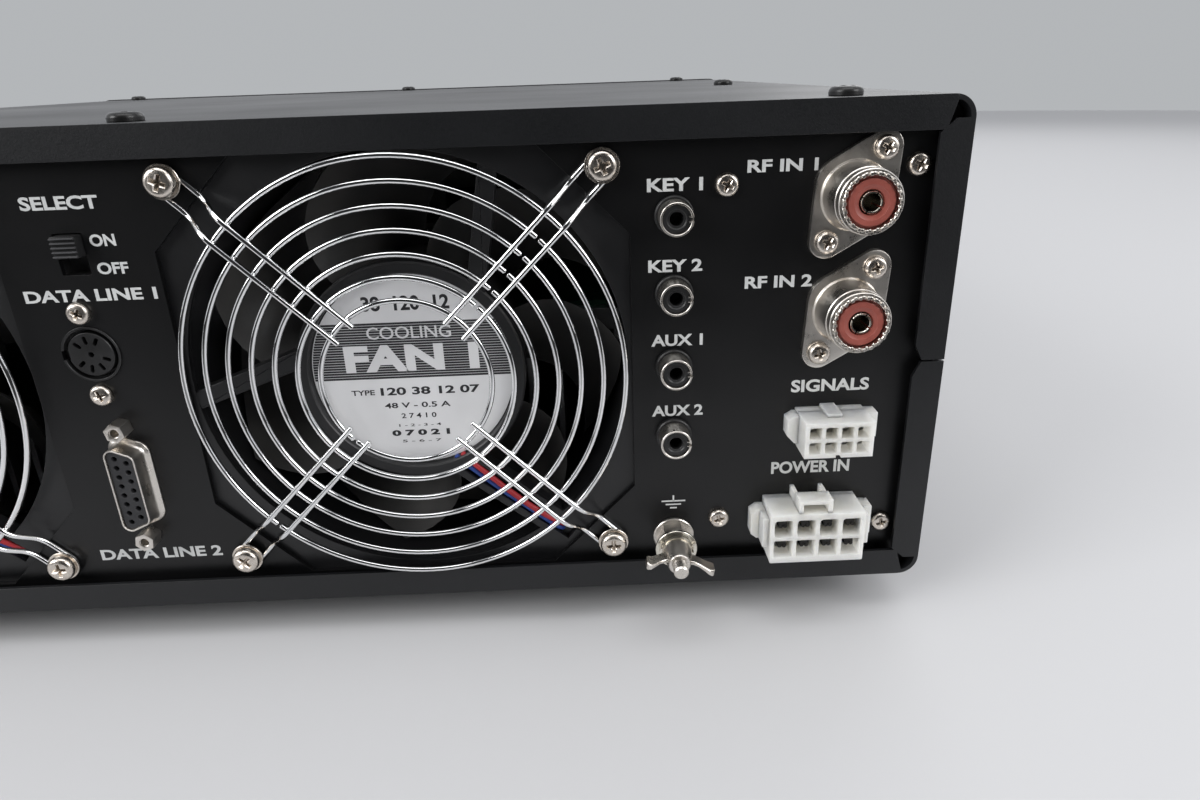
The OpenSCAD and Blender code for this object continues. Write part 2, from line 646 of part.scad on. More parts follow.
module socket_contacts() color([0.8, 0.78, 0.72]) for (p = socket_places) on_rear(p[0], p[1])
    difference() {
        translate([0, 0, -stub - 8]) cylinder(r = contact_r, h = stub + 8 + socket_h - face_drop + 0.5);
        translate([0, 0, -stub]) cylinder(r = contact_bore_r, h = socket_h + stub + 1, $fn = fine);
        for (a = [45, 135]) rotate(a) block(2 * contact_r + 1, 0.6, socket_h - 7, socket_h + 1);
    }
module socket_screws() color("silver") for (p = socket_places, t = flange_tips)
    on_rear(p[0] + t[0], p[1] + t[1], flange_t)
        pan_screw(panel_screw_d, panel_screw_h, panel_screw_r, flange_t + panel_t + 4);

// ---- small jacks ----
jack_wall = 0.55;
jack_block = 12;
jack_back = 10;
collar_h = 1.6;
module jack_sleeves() color("silver") for (p = jack_places) on_rear(p[0], p[1]) difference() {
    tube(jack_r, jack_r - jack_wall, -panel_t, jack_h);
    translate([jack_r - 1, -0.5, jack_h - 0.9]) cube([2, 1, 2]);
}
module jack_bodies() color([0.04, 0.04, 0.04]) for (p = jack_places) on_rear(p[0], p[1]) {
    difference() {
        union() {
            translate([0, 0, -panel_t - jack_back])
                cylinder(r = jack_r - jack_wall - touch_gap, h = panel_t + jack_back + jack_h - 0.8);
            block(jack_block, jack_block, -panel_t - jack_back, -panel_t);
        }
        translate([0, 0, jack_h - 8]) cylinder(r = 1.7, h = 9, $fn = fine);
    }
    tube(jack_r + 0.75, jack_r + touch_gap, 0, collar_h);
}

// ---- data sockets and switch ----
din_plate = [15, 30, 1.5];
module din_socket() color([0.08, 0.08, 0.085]) on_rear(din_place[0], din_place[1]) difference() {
    union() {
        translate([0, 0, -panel_t - 8]) cylinder(r = din_r, h = panel_t + 8.4);
        block(din_plate[0], din_plate[1], -panel_t - din_plate[2], -panel_t);
        block(17, 17, -panel_t - 10, -panel_t - 1);
    }
    translate([0, 0, -6]) tube(din_r - 0.6, din_r - 1.7, 0, 9);
    for (k = [0:6]) rotate(-120 + k * 40 - 90) translate([0, 3.9, -5]) cylinder(r = 0.75, h = 8, $fn = 16);
    translate([0, 0, -5]) cylinder(r = 0.75, h = 8, $fn = 16);
    for (s = [-1, 1]) translate([0, s * din_pitch / 2, -6])
        cylinder(r = panel_screw_r + touch_gap, h = 8, $fn = fine);
}
module din_screws() color("silver") for (s = [-1, 1]) on_rear(din_place[0], din_place[1] + s * din_pitch / 2)
    pan_screw(panel_screw_d - 0.2, panel_screw_h, panel_screw_r, 6);
dsub_flare = 1.5;
dsub_wall = 0.6;
jackscrew_r = 1.4;
dsub_flange = [12.5, 39.2, 0.8];
module dsub_shell() color([0.75, 0.73, 0.68]) on_rear(dsub_place[0], dsub_place[1]) difference() {
    union() {
        translate([0, 0, -panel_t - eps]) linear_extrude(panel_t + 1.2) dsub_outline(dsub_flare);
        linear_extrude(dsub_h) dsub_outline(0);
        block(dsub_flange[0], dsub_flange[1], -panel_t - dsub_flange[2], -panel_t);
    }
    translate([0, 0, -10]) linear_extrude(20) dsub_outline(-dsub_wall);
    for (s = [-1, 1]) translate([0, s * dsub_pitch / 2, -6])
        cylinder(r = jackscrew_r + touch_gap, h = 8, $fn = fine);
}
pin_pitch = 2.74;
module dsub_insert() color([0.06, 0.06, 0.07]) on_rear(dsub_place[0], dsub_place[1]) difference() {
    union() {
        translate([0, 0, -10]) linear_extrude(10 + dsub_h - 0.5) dsub_outline(-dsub_wall - touch_gap);
        block(10, 26, -12, -panel_t - dsub_flange[2]);
    }
    for (k = [0:7]) translate([-1.42, (k - 3.5) * pin_pitch, dsub_h - 6]) cylinder(r = 0.62, h = 8, $fn = 16);
    for (k = [0:6]) translate([1.42, (k - 3) * pin_pitch, dsub_h - 6]) cylinder(r = 0.62, h = 8, $fn = 16);
}
jackscrew_h = 5;
module dsub_jackscrews() color("silver") for (s = [-1, 1])
    on_rear(dsub_place[0], dsub_place[1] + s * dsub_pitch / 2) difference() {
        union() {
            cylinder(d = 4.8 / cos(30), h = jackscrew_h, $fn = 6);
            translate([0, 0, -panel_t - 3]) cylinder(r = jackscrew_r, h = panel_t + 3 + eps, $fn = fine);
        }
        translate([0, 0, 0.5]) cylinder(r = 1.3, h = jackscrew_h, $fn = fine);
    }
switch_cavity = 3;
knob_out = 4;
module switch_body() color([0.12, 0.12, 0.13]) on_rear(switch_place[0], switch_place[1]) difference() {
    union() {
        block(12, 22, -panel_t - switch_cavity, -panel_t);
        block(10, 15, -panel_t - switch_cavity - 6, -panel_t - switch_cavity + eps);
    }
    block(slot_w, slot_l, -panel_t - switch_cavity, 1);
}
ridge_count = 5;
module switch_knob() color([0.09, 0.09, 0.1])
    on_rear(switch_place[0], switch_place[1] + switch_travel / 2) {
        block(knob_w, knob_l, -panel_t - switch_cavity + slip_gap, knob_out - 0.6);
        for (k = [0:ridge_count - 1]) translate([0, (k - 2) * 1.15])
            block(knob_w, 0.55, knob_out - 0.6 - eps, knob_out);
    }

// ---- white connectors ----
module cells(pitch, side, z0, z1) for (i = [0:3], j = [0:1])
    translate([(i - 1.5) * pitch, (j - 0.5) * pitch]) block(side, side, z0, z1);
ear_h = 5;
control_cell = 3.3;
module control_connector() color([0.93, 0.93, 0.88]) on_rear(control_place[0], control_place[1]) {
    difference() {
        block(control_w, control_h, -panel_t - 9, connector_h);
        cells(control_pitch, control_cell, connector_h - 9, connector_h + 1);
        translate([0, -control_h / 2]) block(1.4, 1.4, 0.1, connector_h + 1);
    }
    for (s = [-1, 1]) translate([s * (control_w / 2 + 1.5 - eps), 1]) block(3, 7, 0, ear_h);
    translate([-0.5, control_h / 2 + 0.5 - eps]) block(4, 1, 0, ear_h + 3);
}
power_cell = 5.15;
latch = [11.6, 4.2];      // width and height of the latch bridge
module power_connector() color([0.94, 0.94, 0.9]) on_rear(power_place[0], power_place[1]) {
    difference() {
        block(power_w, power_h, -panel_t - 11, connector_h);
        cells(power_pitch, power_cell, connector_h - 11, connector_h + 1);
    }
    for (s = [-1, 1]) {
        translate([s * (power_w / 2 + 2 - eps), 1]) block(4, 9, 0, ear_h);
        translate([s * (power_w / 2 + 0.9 - eps), 1]) block(1.8, 9, ear_h - eps, connector_h - 2);
    }
    translate([0, power_h / 2 + latch[1] / 2 - eps]) difference() {
        block(latch[0], latch[1], 0, connector_h - 0.4);
        translate([0, -0.6]) block(latch[0] - 2.6, latch[1] - 2.2, -1, connector_h + 1);
        translate([0, 1]) block(latch[0] - 2.6, latch[1], -1, connector_h - 6);
    }
}
tab = [3.2, 1.5];
module power_contacts() color([0.5, 0.48, 0.42]) on_rear(power_place[0], power_place[1])
    for (i = [0:3], j = [0:1])
        translate([(i - 1.5) * power_pitch, (j - 0.5) * power_pitch + (power_cell - tab[1]) / 2])
            block(tab[0], tab[1], connector_h - 11, connector_h - 3);

// ---- ground terminal ----
base_flange_r = 5.85;
base_h = 7;
washer_t = 1;
spring_t = 1.3;
nut_z = base_h + washer_t + spring_t;
nut_hub_h = 6.5;
nut_r = 4.1;
module ground_stud() color([0.82, 0.8, 0.76]) on_rear(ground_place[0], ground_place[1]) {
    cylinder(r = base_flange_r, h = 1.2);
    cylinder(d = 8.6 / cos(30), h = base_h, $fn = 6);
    translate([0, 0, -panel_t - 8]) cylinder(r = stud_r, h = panel_t + 8 + stud_h, $fn = fine);
    translate([0, 0, -panel_t - 3]) cylinder(d = 7 / cos(30), h = 3, $fn = 6);
}
module ground_washers() color([0.8, 0.78, 0.7]) on_rear(ground_place[0], ground_place[1]) {
    tube(base_flange_r, stud_r + shaft_gap, base_h, base_h + washer_t);
    tube(4.9, stud_r + shaft_gap, base_h + washer_t - eps, base_h + washer_t + spring_t);
}
wing_turn = -10;
wing_t = 1.2;
module wing_nut() color([0.84, 0.82, 0.78]) on_rear(ground_place[0], ground_place[1]) rotate(wing_turn) {
    difference() {
        union() {
            translate([0, 0, nut_z]) cylinder(r1 = nut_r, r2 = nut_r - 1, h = nut_hub_h);
            for (s = [0, 180]) rotate(s) wing();
        }
        translate([0, 0, nut_z - 1]) cylinder(r = stud_r + shaft_gap, h = nut_hub_h + 2, $fn = fine);
    }
}
wing_root = 2.6;
module wing() rotate([90, 0, 0]) translate([0, 0, -wing_t / 2]) linear_extrude(wing_t) polygon([
    [wing_root, nut_z + 1], [nut_r, nut_z + 1], [wing_span / 2 - 1.6, nut_z + 5.5],
    [wing_span / 2, nut_z + 5], [wing_span / 2, nut_z + 9], [wing_span / 2 - 2, nut_z + 9.5],
    [nut_r - 0.4, nut_z + 5.5], [wing_root, nut_z + 5.5]]);

// ---- front ----
front_rim = 4;            // wall of the front panel's frame
front_proud = 0.5;        // how far the front panel stands out past the covers
front_round = 6;
power_x = -case_w / 2 + 30;
window_x = power_x + 111;
window_up = 22;
row_up = -28;
key_x = [for (i = [0:key_count - 1]) window_x + (i - (key_count - 1) / 2) * key_pitch];
knob_x = case_w / 2 - 83;
knob_up = 8;
key_hole_gap = 0.35;
board_z = -front_skin - slip_gap - 1 - key_travel - slip_gap; // face of the board behind the keys
selector_r = 3;
module front_panel() color([0.1, 0.1, 0.11]) difference() {
    along_y(y_front, y_cover) rounded(case_w + 2 * front_proud, case_h + 2 * front_proud, front_round);
    along_y(y_front + front_skin, y_cover + 1)
        rounded(case_w - 2 * front_rim, case_h - 2 * front_rim, front_round - 2);
    on_front(window_x, window_up, -front_skin - 1)
        linear_extrude(front_skin + 2) rounded(window_w, window_h, 3);
    for (x = key_x) on_front(x, row_up, -front_skin - 1)
        block(key_w + 2 * key_hole_gap, key_h + 2 * key_hole_gap, 0, front_skin + 2);
    on_front(power_x, row_up, -front_skin - 1)
        cylinder(d = power_button_d + 2 * key_hole_gap, h = front_skin + 2);
    on_front(knob_x, knob_up, -front_skin - 1)
        cylinder(r = selector_r + shaft_gap, h = front_skin + 2, $fn = fine);
}
window_t = 2.5;
window_sink = 0.6;        // depth of the window's face in its cut-out
module display_window() color([0.1, 0.12, 0.14]) on_front(window_x, window_up, -window_sink - window_t)
    linear_extrude(window_t) rounded(window_w - 2 * touch_gap, window_h - 2 * touch_gap, 3 - touch_gap);
window_back = -window_sink - window_t;
module display_module() color([0.2, 0.35, 0.3]) on_front(window_x, 0) {
    board_low = row_up - key_h / 2 - 6;
    board_high = window_up + window_h / 2 + 5;
    translate([0, (board_low + board_high) / 2])
        block(window_w + 12, board_high - board_low, board_z - board_t, board_z);
    translate([0, window_up]) {
        block(window_w - 8, window_h - 8, board_z - eps, window_back);
        for (sx = [-1, 1], sy = [-1, 1]) translate([sx * (window_w / 2 + 3), sy * (window_h / 2 + 2)])
            block(3, 3, board_z - eps, -front_skin);
    }
}
button_out = 4;
button_side = 3;          // how far the button's and keys' lips reach past their holes' sides, in all
lip_t = 1;
lip_top = -front_skin - slip_gap;
module power_button() color([0.16, 0.16, 0.17]) on_front(power_x, row_up) {
    translate([0, 0, lip_top - lip_t]) cylinder(d = power_button_d, h = button_out - lip_top + lip_t);
    translate([0, 0, lip_top - lip_t]) cylinder(d = power_button_d + button_side, h = lip_t);
}
power_cup_r = (power_button_d + button_side) / 2 + slip_gap;
power_cup_z = lip_top - lip_t - power_travel - slip_gap;
module power_switch() color([0.2, 0.2, 0.2]) on_front(power_x, row_up) difference() {
    translate([0, 0, power_cup_z - 2]) cylinder(r = power_cup_r + 1.5, h = -front_skin - power_cup_z + 2);
    translate([0, 0, power_cup_z]) cylinder(r = power_cup_r, h = front_t);
}
key_out = 2.2;
module key(i) color([0.3, 0.3, 0.31]) on_front(key_x[i], row_up) {
    block(key_w, key_h, lip_top - lip_t, key_out);
    block(key_w + button_side, key_h + button_side, lip_top - lip_t, lip_top);
}
knob_gap = 0.4;
base_depth = 7.6;
module selector_knob() color([0.14, 0.14, 0.15]) on_front(knob_x, knob_up) {
    difference() {
        union() {
            translate([0, 0, knob_gap]) cylinder(d = knob_d, h = knob_h - knob_gap - 1.5);
            translate([0, 0, knob_h - 1.5 - eps]) cylinder(d1 = knob_d, d2 = knob_d - 3, h = 1.5 + eps);
        }
        translate([0, knob_d / 2 - 5, knob_h - 1]) cylinder(r = 2, h = 2, $fn = fine);
    }
    translate([0, 0, -front_skin - base_depth + 1])
        cylinder(r = selector_r, h = front_skin + base_depth, $fn = fine);
}
module selector_base() color([0.6, 0.6, 0.6]) on_front(knob_x, knob_up, -front_skin) difference() {
    block(16, 16, -base_depth, 0);
    translate([0, 0, -base_depth + 1 - slip_gap])
        cylinder(r = selector_r + shaft_gap, h = base_depth + 1, $fn = fine);
}

// ---- inside ----
sink_y1 = y_panel_in - fan_depth - 6;
sink_y0 = sink_y1 - sink_l;
sink_top = z_mid + 4;
sink_w = fan_size - 2 * sink_in;
x_fans = [x_fan_1, x_fan_1 + fan_gap];
module heatsinks() color([0.7, 0.7, 0.72]) for (x = x_fans) {
    translate([x - sink_w / 2, sink_y0, sink_top - sink_base]) cube([sink_w, sink_l, sink_base]);
    for (k = [0:fin_count - 1])
        translate([x - sink_w / 2 + k * (sink_w - fin_t) / (fin_count - 1), sink_y0, z_floor])
            cube([fin_t, sink_l, sink_top - sink_base - z_floor + eps]);
}
board_margin = 4;         // board's edges, in from the heatsink's
module amplifier_boards() color([0.1, 0.4, 0.2]) for (x = x_fans)
    translate([x - sink_w / 2 + board_margin, sink_y0 + board_margin, sink_top])
        cube([sink_w - 2 * board_margin, sink_l - 2 * board_margin, board_t]);
z_board = sink_top + board_t;
transistor_x = sink_w * 0.19;
transistor_flange = [10, 34, 3];
transistor_cap = [20, 10, 3];
module power_transistors() color([0.85, 0.82, 0.75]) for (x = x_fans, y = [0.3, 0.7], s = [-1, 1])
    translate([x + s * transistor_x, sink_y0 + sink_l * y, z_board]) {
        block(transistor_flange[0], transistor_flange[1], 0, transistor_flange[2]);
        translate([0, 0, transistor_flange[2]])
            block(transistor_cap[0], transistor_cap[1], -eps, transistor_cap[2]);
    }
ferrite_core = [34, 22, 16];
ferrite_hole_r = 4;
module rf_transformers() color([0.25, 0.22, 0.2]) for (x = x_fans, y = [0.16, 0.84])
    translate([x, sink_y0 + sink_l * y, z_board]) difference() {
        block(ferrite_core[0], ferrite_core[1], 0, ferrite_core[2]);
        for (s = [-1, 1]) translate([s * ferrite_core[0] / 4, 0, ferrite_core[2] / 2]) rotate([90, 0, 0])
            cylinder(r = ferrite_hole_r, h = ferrite_core[1] + 2, center = true);
    }
shield_t = 1.2;
shield_foot = 10;         // depth of the shield plate's foot
shield_in = 3;            // from the chassis walls to the plate, clear of the rounded corners
shield_h = case_h - 32;
plate_y = sink_y0 - 8;
shield_w = 2 * (x_wall - shield_in);
module shield_plate() color([0.75, 0.75, 0.73])
    translate([-shield_w / 2, plate_y - shield_t / 2, z_floor]) {
        cube([shield_w, shield_t, shield_h]);
        translate([0, -shield_foot, 0]) cube([shield_w, shield_foot + eps, shield_t]);
    }
filter_y0 = y_cover + 14;
filter_y1 = plate_y - 14;
filter_in = 53;           // from the case's sides to the filter board
filter_w = case_w - 2 * filter_in;
filter_z = z_floor + 8;
post_in = 6;              // board posts, in from the board's edges
module filter_board() color([0.12, 0.38, 0.22]) {
    translate([-filter_w / 2, filter_y0, filter_z]) cube([filter_w, filter_y1 - filter_y0, board_t]);
    for (sx = [-1, 1], y = [filter_y0 + post_in, filter_y1 - post_in])
        translate([sx * (filter_w / 2 - post_in), y, z_floor])
            cylinder(r = 3, h = filter_z - z_floor + eps, $fn = fine);
}
coil_count = 6;
coil_pitch = (filter_w - 36) / coil_count;
coil_r = 14;
coil_hole_r = 8;
coil_h = 11;
coil_row = 17;            // rows of coils, to each side of the board's middle line of relays
coil_y = filter_y0 + 39;  // that middle line
module filter_coils() color([0.75, 0.45, 0.2]) for (i = [0:coil_count - 1], s = [-1, 1])
    translate([(i - (coil_count - 1) / 2) * coil_pitch, coil_y + s * coil_row, filter_z + board_t])
        tube(coil_r, coil_hole_r, 0, coil_h);
relay = [11, 26, 18];
module relays() color([0.9, 0.9, 0.88]) for (i = [0:coil_count])
    translate([(i - coil_count / 2) * coil_pitch, coil_y, filter_z + board_t])
        block(relay[0], relay[1], 0, relay[2]);
board_left = jack_dx + 6; // edges of the input board, from the first fan's centre
board_right = fan_edge - cover_screw_l - 0.5;
board_half_h = case_h / 2 - 9;
module input_board() color([0.1, 0.35, 0.2]) {
    on_rear(0, 0, -panel_t - input_board_depth - board_t) difference() {
        translate([board_left, -board_half_h, 0]) cube([board_right - board_left, 2 * board_half_h, board_t]);
        for (p = panel_screw_places) translate([p[0], p[1], -1]) cylinder(r = 1.5, h = 4, $fn = fine);
    }
    for (p = panel_screw_places) on_rear(p[0], p[1], -panel_t - input_board_depth) difference() {
        cylinder(r = 2.8, h = input_board_depth, $fn = fine);
        translate([0, 0, input_board_depth - 8]) cylinder(r = panel_screw_r + touch_gap, h = 9, $fn = fine);
    }
}

top_cover();
bottom_cover();
chassis();
rear_panel();
front_panel();
cover_screws();
panel_screws();
feet();
fan_frame(0);  // fan_frame_1
fan_frame(1);  // fan_frame_2
fan_rotor(0);  // fan_rotor_1
fan_rotor(1);  // fan_rotor_2
fan_labels();
fan_leads();
guard(0);  // guard_1
guard(1);  // guard_2
guard_screws();
guard_washers();
guard_nuts();
input_sockets();
antenna_sockets();
socket_insulators();
socket_contacts();
socket_screws();
jack_sleeves();
jack_bodies();
din_socket();
din_screws();
dsub_shell();
dsub_insert();
dsub_jackscrews();
switch_body();
switch_knob();
control_connector();
power_connector();
power_contacts();
ground_stud();
ground_washers();
wing_nut();
display_window();
display_module();
power_button();
power_switch();
key(0);  // key_1
key(1);  // key_2
key(2);  // key_3
key(3);  // key_4
key(4);  // key_5
key(5);  // key_6
selector_knob();
selector_base();
heatsinks();
amplifier_boards();
power_transistors();
rf_transformers();
filter_board();
filter_coils();
relays();
input_board();
shield_plate();
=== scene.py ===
"""The looks of an HF linear amplifier in a low sheet-metal case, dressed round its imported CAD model.

Lengths inside a Form are millimetres. A place on the back is (right, up, out) as seen from behind, from
the first fan's centre and the rear panel's face; rear() turns it into the frame's metres.
"""
import json
import math

import bmesh
import bpy
import numpy as np
from mathutils import Matrix, Vector


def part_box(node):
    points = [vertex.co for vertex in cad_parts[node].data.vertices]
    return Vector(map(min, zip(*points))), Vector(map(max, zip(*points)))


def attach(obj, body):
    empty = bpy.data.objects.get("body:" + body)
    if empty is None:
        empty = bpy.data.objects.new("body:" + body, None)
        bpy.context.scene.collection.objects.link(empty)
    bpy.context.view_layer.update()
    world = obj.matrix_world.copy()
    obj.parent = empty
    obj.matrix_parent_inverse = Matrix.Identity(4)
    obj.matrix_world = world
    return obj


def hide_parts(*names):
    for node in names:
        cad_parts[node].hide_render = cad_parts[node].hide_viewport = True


MM = 0.001
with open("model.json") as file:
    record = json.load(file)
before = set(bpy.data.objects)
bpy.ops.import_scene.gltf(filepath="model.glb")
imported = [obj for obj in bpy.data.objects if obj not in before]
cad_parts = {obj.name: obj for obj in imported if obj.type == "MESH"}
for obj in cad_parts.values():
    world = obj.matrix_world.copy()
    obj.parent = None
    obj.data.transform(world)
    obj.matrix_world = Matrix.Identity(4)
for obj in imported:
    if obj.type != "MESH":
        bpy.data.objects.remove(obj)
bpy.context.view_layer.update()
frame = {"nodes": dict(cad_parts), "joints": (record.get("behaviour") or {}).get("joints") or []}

# ---- places that the frame gives ----
JOINTS = {j["name"]: j for j in frame["joints"]}
FAN_1 = Vector(JOINTS["fan_1_spin"]["pos_m"]) / MM
FAN_2 = Vector(JOINTS["fan_2_spin"]["pos_m"]) / MM
PANEL_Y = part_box("rear_panel")[1].y / MM
PANEL_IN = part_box("rear_panel")[0].y / MM - PANEL_Y   # the panel's inner face, seen as out from its outer one
FRONT_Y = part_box("front_panel")[0].y / MM
MID_Z = FAN_1.z
FANS = {"1": 0.0, "2": FAN_1.x - FAN_2.x}
SEEN_FROM_BEHIND = Matrix(((-1, 0, 0), (0, 0, 1), (0, 1, 0)))
SEEN_FROM_FRONT = Matrix(((1, 0, 0), (0, 0, -1), (0, 1, 0)))


def turned(degrees):
    """A counter-clockwise turn about Z."""
    return Matrix.Rotation(math.radians(degrees), 4, "Z")


def rear(right=0.0, up=0.0, out=0.0, turn=0.0):
    """The place on the back at those millimetres, turned counter-clockwise by turn degrees."""
    spot = Matrix.Translation((FAN_1.x - right, PANEL_Y + out, MID_Z + up))
    return spot @ SEEN_FROM_BEHIND.to_4x4() @ turned(turn)


def front(x, up):
    """The place on the front panel's face, seen from the front."""
    return Matrix.Translation((x, FRONT_Y, MID_Z + up)) @ SEEN_FROM_FRONT.to_4x4()


def solids(node):
    """The lowest and highest corner, in millimetres, of each separate solid of a CAD node."""
    mesh = frame["nodes"][node].data
    points = np.array([v.co for v in mesh.vertices]) / MM
    _, group = np.unique(np.round(points, 3), axis=0, return_inverse=True)
    group = group.ravel()
    root = list(range(group.max() + 1))

    def find(i):
        while root[i] != i:
            root[i] = root[root[i]]
            i = root[i]
        return i

    for face in mesh.polygons:
        first = find(group[face.vertices[0]])
        for v in face.vertices[1:]:
            root[find(group[v])] = first
    owner = np.array([find(i) for i in group])
    parts = [points[owner == o] for o in sorted(set(owner), key=lambda o: tuple(points[owner == o].min(0)))]
    return [(Vector(p.min(0)), Vector(p.max(0))) for p in parts]


def rear_centres(node):
    """(right, up) of each solid of a CAD node on the back."""
    found = []
    for low, high in solids(node):
        middle = (low + high) / 2
        found.append((FAN_1.x - middle.x, middle.z - MID_Z))
    return found


# ---- making meshes ----
class Form:
    """Vertices in millimetres and faces, gathered from simple skins before they become one piece."""

    def __init__(self):
        self.verts = []
        self.faces = []

    def add(self, verts, faces, place=None):
        base = len(self.verts)
        place = place or Matrix.Identity(4)
        self.verts += [tuple(place @ Vector(v)) for v in verts]
        self.faces += [tuple(base + i for i in f) for f in faces]
        return self

    def put(self, other, place=None):
        return self.add(other.verts, other.faces, place)

    def spread(self, other, places):
        for place in places:
            self.put(other, place)
        return self

    def loft(self, rings, loop=False, place=None):
        """A skin through rings of points, closed at its ends or, with loop, joined into a ring."""
        n, rows = len(rings[0]), len(rings)
        faces = []
        for i in range(rows if loop else rows - 1):
            a, b = i * n, (i + 1) % rows * n
            faces += [(a + j, a + (j + 1) % n, b + (j + 1) % n, b + j) for j in range(n)]
        if not loop:
            faces.append(tuple(range(n))[::-1])
            faces.append(tuple((rows - 1) * n + j for j in range(n)))
        return self.add([p for r in rings for p in r], faces, place)

    def lathe(self, profile, steps=48, loop=False, place=None):
        """A profile of (radius, height) turned round Z; loop closes the profile on itself."""
        turns = [2 * math.pi * k / steps for k in range(steps)]
        rings = [[(r * math.cos(a), r * math.sin(a), z) for a in turns] for r, z in profile]
        return self.loft(rings, loop, place)

    def prism(self, outline, z0, z1, edge=0.0, place=None):
        """An outline pulled from z0 to z1, with its edges rounded by edge."""
        if not edge:
            rings = [(outline, z0), (outline, z1)]
        else:
            soft = edge * 0.3
            rings = [(inset(outline, edge), z0), (inset(outline, soft), z0 + soft), (outline, z0 + edge),
                     (outline, z1 - edge), (inset(outline, soft), z1 - soft), (inset(outline, edge), z1)]
        return self.loft([[(x, y, z) for x, y in ring] for ring, z in rings], place=place)

    def tube(self, path, radius, sides, place=None):
        """A round wire along a path of points, with rounded ends."""
        points = [Vector(p) for p in path]
        ways = [(b - a).normalized() for a, b in zip(points[:1] + points, points[1:] + points[-1:])]
        side = ways[0].orthogonal().normalized()
        rings = []
        for p, way in zip(points, ways):
            side = (side - way * side.dot(way)).normalized()
            other = way.cross(side)
            turn = [2 * math.pi * k / sides for k in range(sides)]
            rings.append([p + radius * (side * math.cos(a) + other * math.sin(a)) for a in turn])
        for end, way, sign in ((0, ways[0], -1), (-1, ways[-1], 1)):
            tip = points[end] + way * sign * radius * 0.35
            ring = [tip + (q - points[end]) * 0.65 for q in rings[end]]
            rings.insert(0 if end == 0 else len(rings), ring)
        return self.loft(rings, place=place)


def inset(outline, distance):
    """A counter-clockwise outline moved inwards by a distance."""
    pts = np.array(outline, float)
    ahead = np.roll(pts, -1, 0) - pts
    ahead /= np.linalg.norm(ahead, axis=1)[:, None]
    behind = np.roll(ahead, 1, 0)
    out_a = np.stack([ahead[:, 1], -ahead[:, 0]], 1)
    out_b = np.stack([behind[:, 1], -behind[:, 0]], 1)
    both = out_a + out_b
    both /= np.maximum((both * out_a).sum(1), 0.3)[:, None]
    return [tuple(p) for p in pts - distance * both]


def arc(x, y, r, start, end, steps=8):
    """Points on an arc from start to end degrees."""
    angles = [math.radians(start + (end - start) * k / steps) for k in range(steps + 1)]
    return [(x + r * math.cos(a), y + r * math.sin(a)) for a in angles]


def circle(r, steps=32, x=0.0, y=0.0):
    return arc(x, y, r, 0, 360, steps)[:-1]


def hexagon(r, start):
    """A hexagon by its corners' radius, with one corner at start degrees."""
    return arc(0, 0, r, start, start + 360, 6)[:-1]


def rounded(w, h, r, steps=5, x=0.0, y=0.0):
    """A rectangle with rounded corners."""
    a, b = w / 2 - r, h / 2 - r
    corners = ((a, b, 0), (-a, b, 90), (-a, -b, 180), (a, -b, 270))
    return [p for cx, cy, t in corners for p in arc(x + cx, y + cy, r, t, t + 90, steps)]


def rounded_path(points, r, steps=6):
    """A path whose inner corners are rounded with that much cut off each side."""
    pts = [Vector(p) for p in points]
    path = [pts[0]]
    for before, here, after in zip(pts, pts[1:], pts[2:]):
        cut = min(r, (here - before).length * 0.45, (after - here).length * 0.45)
        a = here + (before - here).normalized() * cut
        b = here + (after - here).normalized() * cut
        for k in range(steps + 1):
            t = k / steps
            path.append(a * (1 - t) ** 2 + here * 2 * t * (1 - t) + b * t ** 2)
    return path + [pts[-1]]


def weld(mesh, distance, outwards):
    """The mesh with points joined that lie within a distance in metres; its faces may be turned outwards."""
    shape = bmesh.new()
    shape.from_mesh(mesh)
    bmesh.ops.remove_doubles(shape, verts=shape.verts, dist=distance)
    if outwards:
        bmesh.ops.recalc_face_normals(shape, faces=shape.faces)
    shape.to_mesh(mesh)
    shape.free()
    return mesh


def to_mesh(form, name):
    """The form as a mesh in metres, with its faces turned outwards."""
    mesh = bpy.data.meshes.new(name)
    mesh.from_pydata([Vector(v) * MM for v in form.verts], [], form.faces)
    return weld(mesh, 1e-7, outwards=True)


def add_object(name, data):
    obj = bpy.data.objects.new(name, data)
    bpy.context.collection.objects.link(obj)
    return obj


def applied(obj):
    """The object's mesh with its modifiers applied."""
    return bpy.data.meshes.new_from_object(obj.evaluated_get(bpy.context.evaluated_depsgraph_get()))


def finish(obj, material, body, nodes=(), smooth=35):
    """Gives a piece its material, its shading and its body, and hides the CAD nodes that it stands for."""
    obj.data.materials.clear()
    obj.data.materials.append(material)
    obj.data.shade_smooth()
    obj.data.set_sharp_from_angle(angle=math.radians(smooth))
    obj.modifiers.new("even", "WEIGHTED_NORMAL").keep_sharp = True
    obj.data = applied(obj)
    obj.modifiers.clear()
    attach(obj, body)
    if nodes:
        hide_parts(*nodes)


def piece(name, form, material, body="case", nodes=(), smooth=35):
    """A form as a piece of the scene."""
    finish(add_object(name, to_mesh(form, name)), material, body, nodes, smooth)


def taken(obj, unit=MM, shift=(0, 0, 0)):
    """A helper object's finished mesh as a form; unit is a millimetre's length, and the object is removed."""
    mesh = applied(obj)
    bpy.data.objects.remove(obj)
    form = Form()
    form.verts = [tuple(v.co / unit + Vector(shift)) for v in mesh.vertices]
    form.faces = [tuple(p.vertices) for p in mesh.polygons]
    return form


def carve(form, *tools):
    """The form less each of the tools."""
    body, *cutters = [add_object("scratch", to_mesh(each, "scratch")) for each in (form, *tools)]
    for cutter in cutters:
        cut = body.modifiers.new("cut", "BOOLEAN")
        cut.operation, cut.solver, cut.object = "DIFFERENCE", "EXACT", cutter
    carved = taken(body)
    for cutter in cutters:
        bpy.data.objects.remove(cutter)
    return carved


